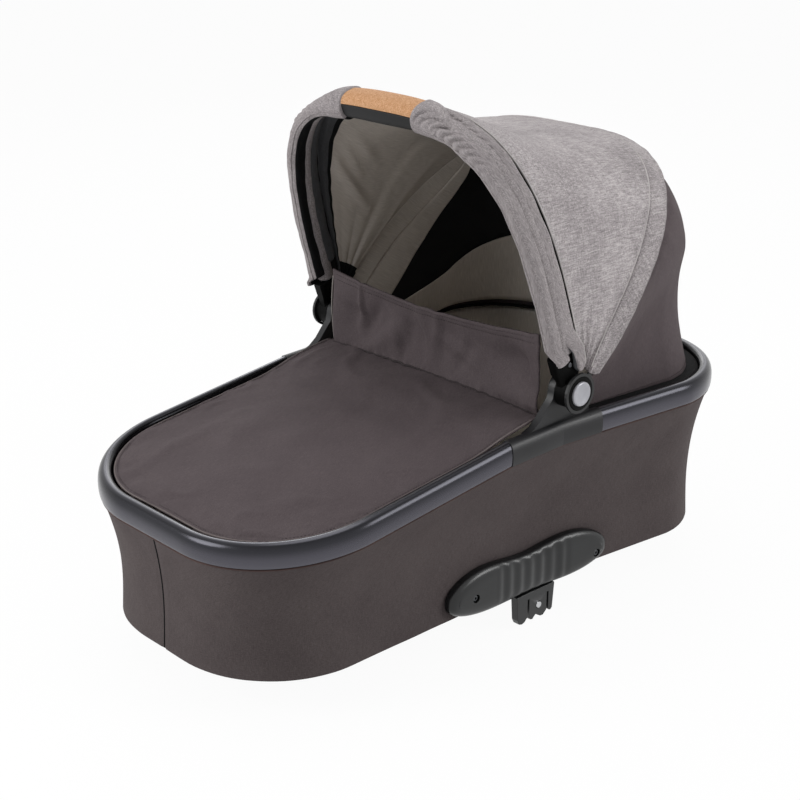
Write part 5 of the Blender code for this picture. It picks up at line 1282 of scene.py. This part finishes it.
plate = {"centre": 0.020, "halfLength": 0.138, "top": 0.064, "middle": 0.026, "low": -0.004, "count": 300,
         "waist": 0.0100, "ribs": 0.0007, "ribPitch": 0.0190, "ribReach": 0.072,
         "screws": ((-0.077, 0.026), (0.138, 0.020)),
         # how far each ring lies in from the edge, how high it stands, and how far it closes over the face
         "rings": ((0.0, 0.0005, 0), (0.0, 0.0040, 0), (0.0, 0.0062, 0), (0.0006, 0.0082, 0), (0.0016, 0.0098, 0),
                   (0.0032, 0.0113, 0), (0.0055, 0.0126, 0), (0.0085, 0.0134, 0), (0.0120, 0.0139, 0),
                   (0.012, 0.0141, 0.12), (0.012, 0.0142, 0.24), (0.012, 0.0143, 0.38), (0.012, 0.0143, 0.52),
                   (0.012, 0.0144, 0.66), (0.012, 0.0144, 0.83), (0.012, 0.0144, 1.0))}


def plateOutline(shrink, turns):
    # a side plate seen from its side: a rounded oblong with a slight waist
    c, s = np.cos(turns), np.sin(turns)
    c[np.abs(c) < 1e-9], s[np.abs(s) < 1e-9] = 0.0, 0.0
    x = plate["centre"] + (plate["halfLength"] - shrink) * rounded(c, 0.75)
    waist = 0.5 + 0.5 * np.cos(2 * pi * (x - plate["centre"]) / 0.19)
    top, low = plate["top"] - plate["waist"] * waist - shrink, plate["low"] + 0.003 * waist + shrink
    return x, plate["middle"] + np.where(s > 0, top - plate["middle"], plate["middle"] - low) * rounded(s, 0.75)


# turns that lie evenly along the upper edge and alike along the lower one, so that the ribs come out alike
fine = np.linspace(0.0, pi, 2001)
reached = runLengths(np.column_stack(plateOutline(0.0, fine)))
upper = np.interp(np.linspace(0.0, reached[-1], plate["count"] // 2 + 1), reached, fine)
plateTurns = np.concatenate([upper, 2 * pi - upper[-2:0:-1]])

for side, word in bothSides:
    rows = []
    for shrink, rise, close in plate["rings"]:
        x, z = plateOutline(shrink, plateTurns)
        z = cot["floor"] + toward(z, plate["middle"], close)
        ribbed = ease((plate["ribReach"] - np.abs(x - plate["centre"] - 0.006)) / 0.02)
        ribbed = ribbed * ease((rise - 0.0098) / 0.0035)
        rib = plate["ribs"] * (np.cos(2 * pi * (x - plate["centre"]) / plate["ribPitch"]) - 0.6) * ribbed
        wall = np.maximum(wallY(x, z), wallY(x, np.full_like(x, cot["floor"] + 0.008)))
        rows.append(np.column_stack([x, side * (wall + rise + rib), z]))
    cover = addPiece("plate_cover_" + word, rows, plastic["plate"], "plate_plastic", "cot", ["side_plate_" + word],
                     closed=True, capped=True)
    # two screw wells, cut at once so that the piece keeps a plain mesh
    for x, z in plate["screws"]:
        face = float(wallY(x, cot["floor"] + z)) + 0.014
        bm = bmesh.new()
        bmesh.ops.create_cone(bm, cap_ends=True, segments=40, radius1=0.0056, radius2=0.0056, depth=0.02,
                              matrix=Matrix.Translation((x, side * (face + 0.0055), cot["floor"] + z))
                              @ Matrix.Rotation(pi / 2, 4, "X"))
        bmesh.ops.recalc_face_normals(bm, faces=bm.faces)
        tool = addObject("well", meshOf("well", bm))
        cut = cover.modifiers.new("well", "BOOLEAN")
        cut.operation, cut.solver, cut.object = "DIFFERENCE", "EXACT", tool
        bpy.context.view_layer.update()
        result = bpy.data.meshes.new_from_object(withModifiers(cover))
        cover.modifiers.clear()
        result.name, cover.data = cover.name, result
        bpy.data.objects.remove(tool, do_unlink=True)
    cover.data.shade_smooth()
    cover.data.set_sharp_from_angle(angle=math.radians(40))
    reclad(metal["rivet"], "screw_foot_" + word, "screw_head_" + word)
    refinedCopy("plug_body_" + word, "plug_" + word, plastic["plate"], "joint_plastic", "cot", 0.0007)
    reclad(metal["pin"], "plug_pin_" + word)
print("side plates and plugs made")
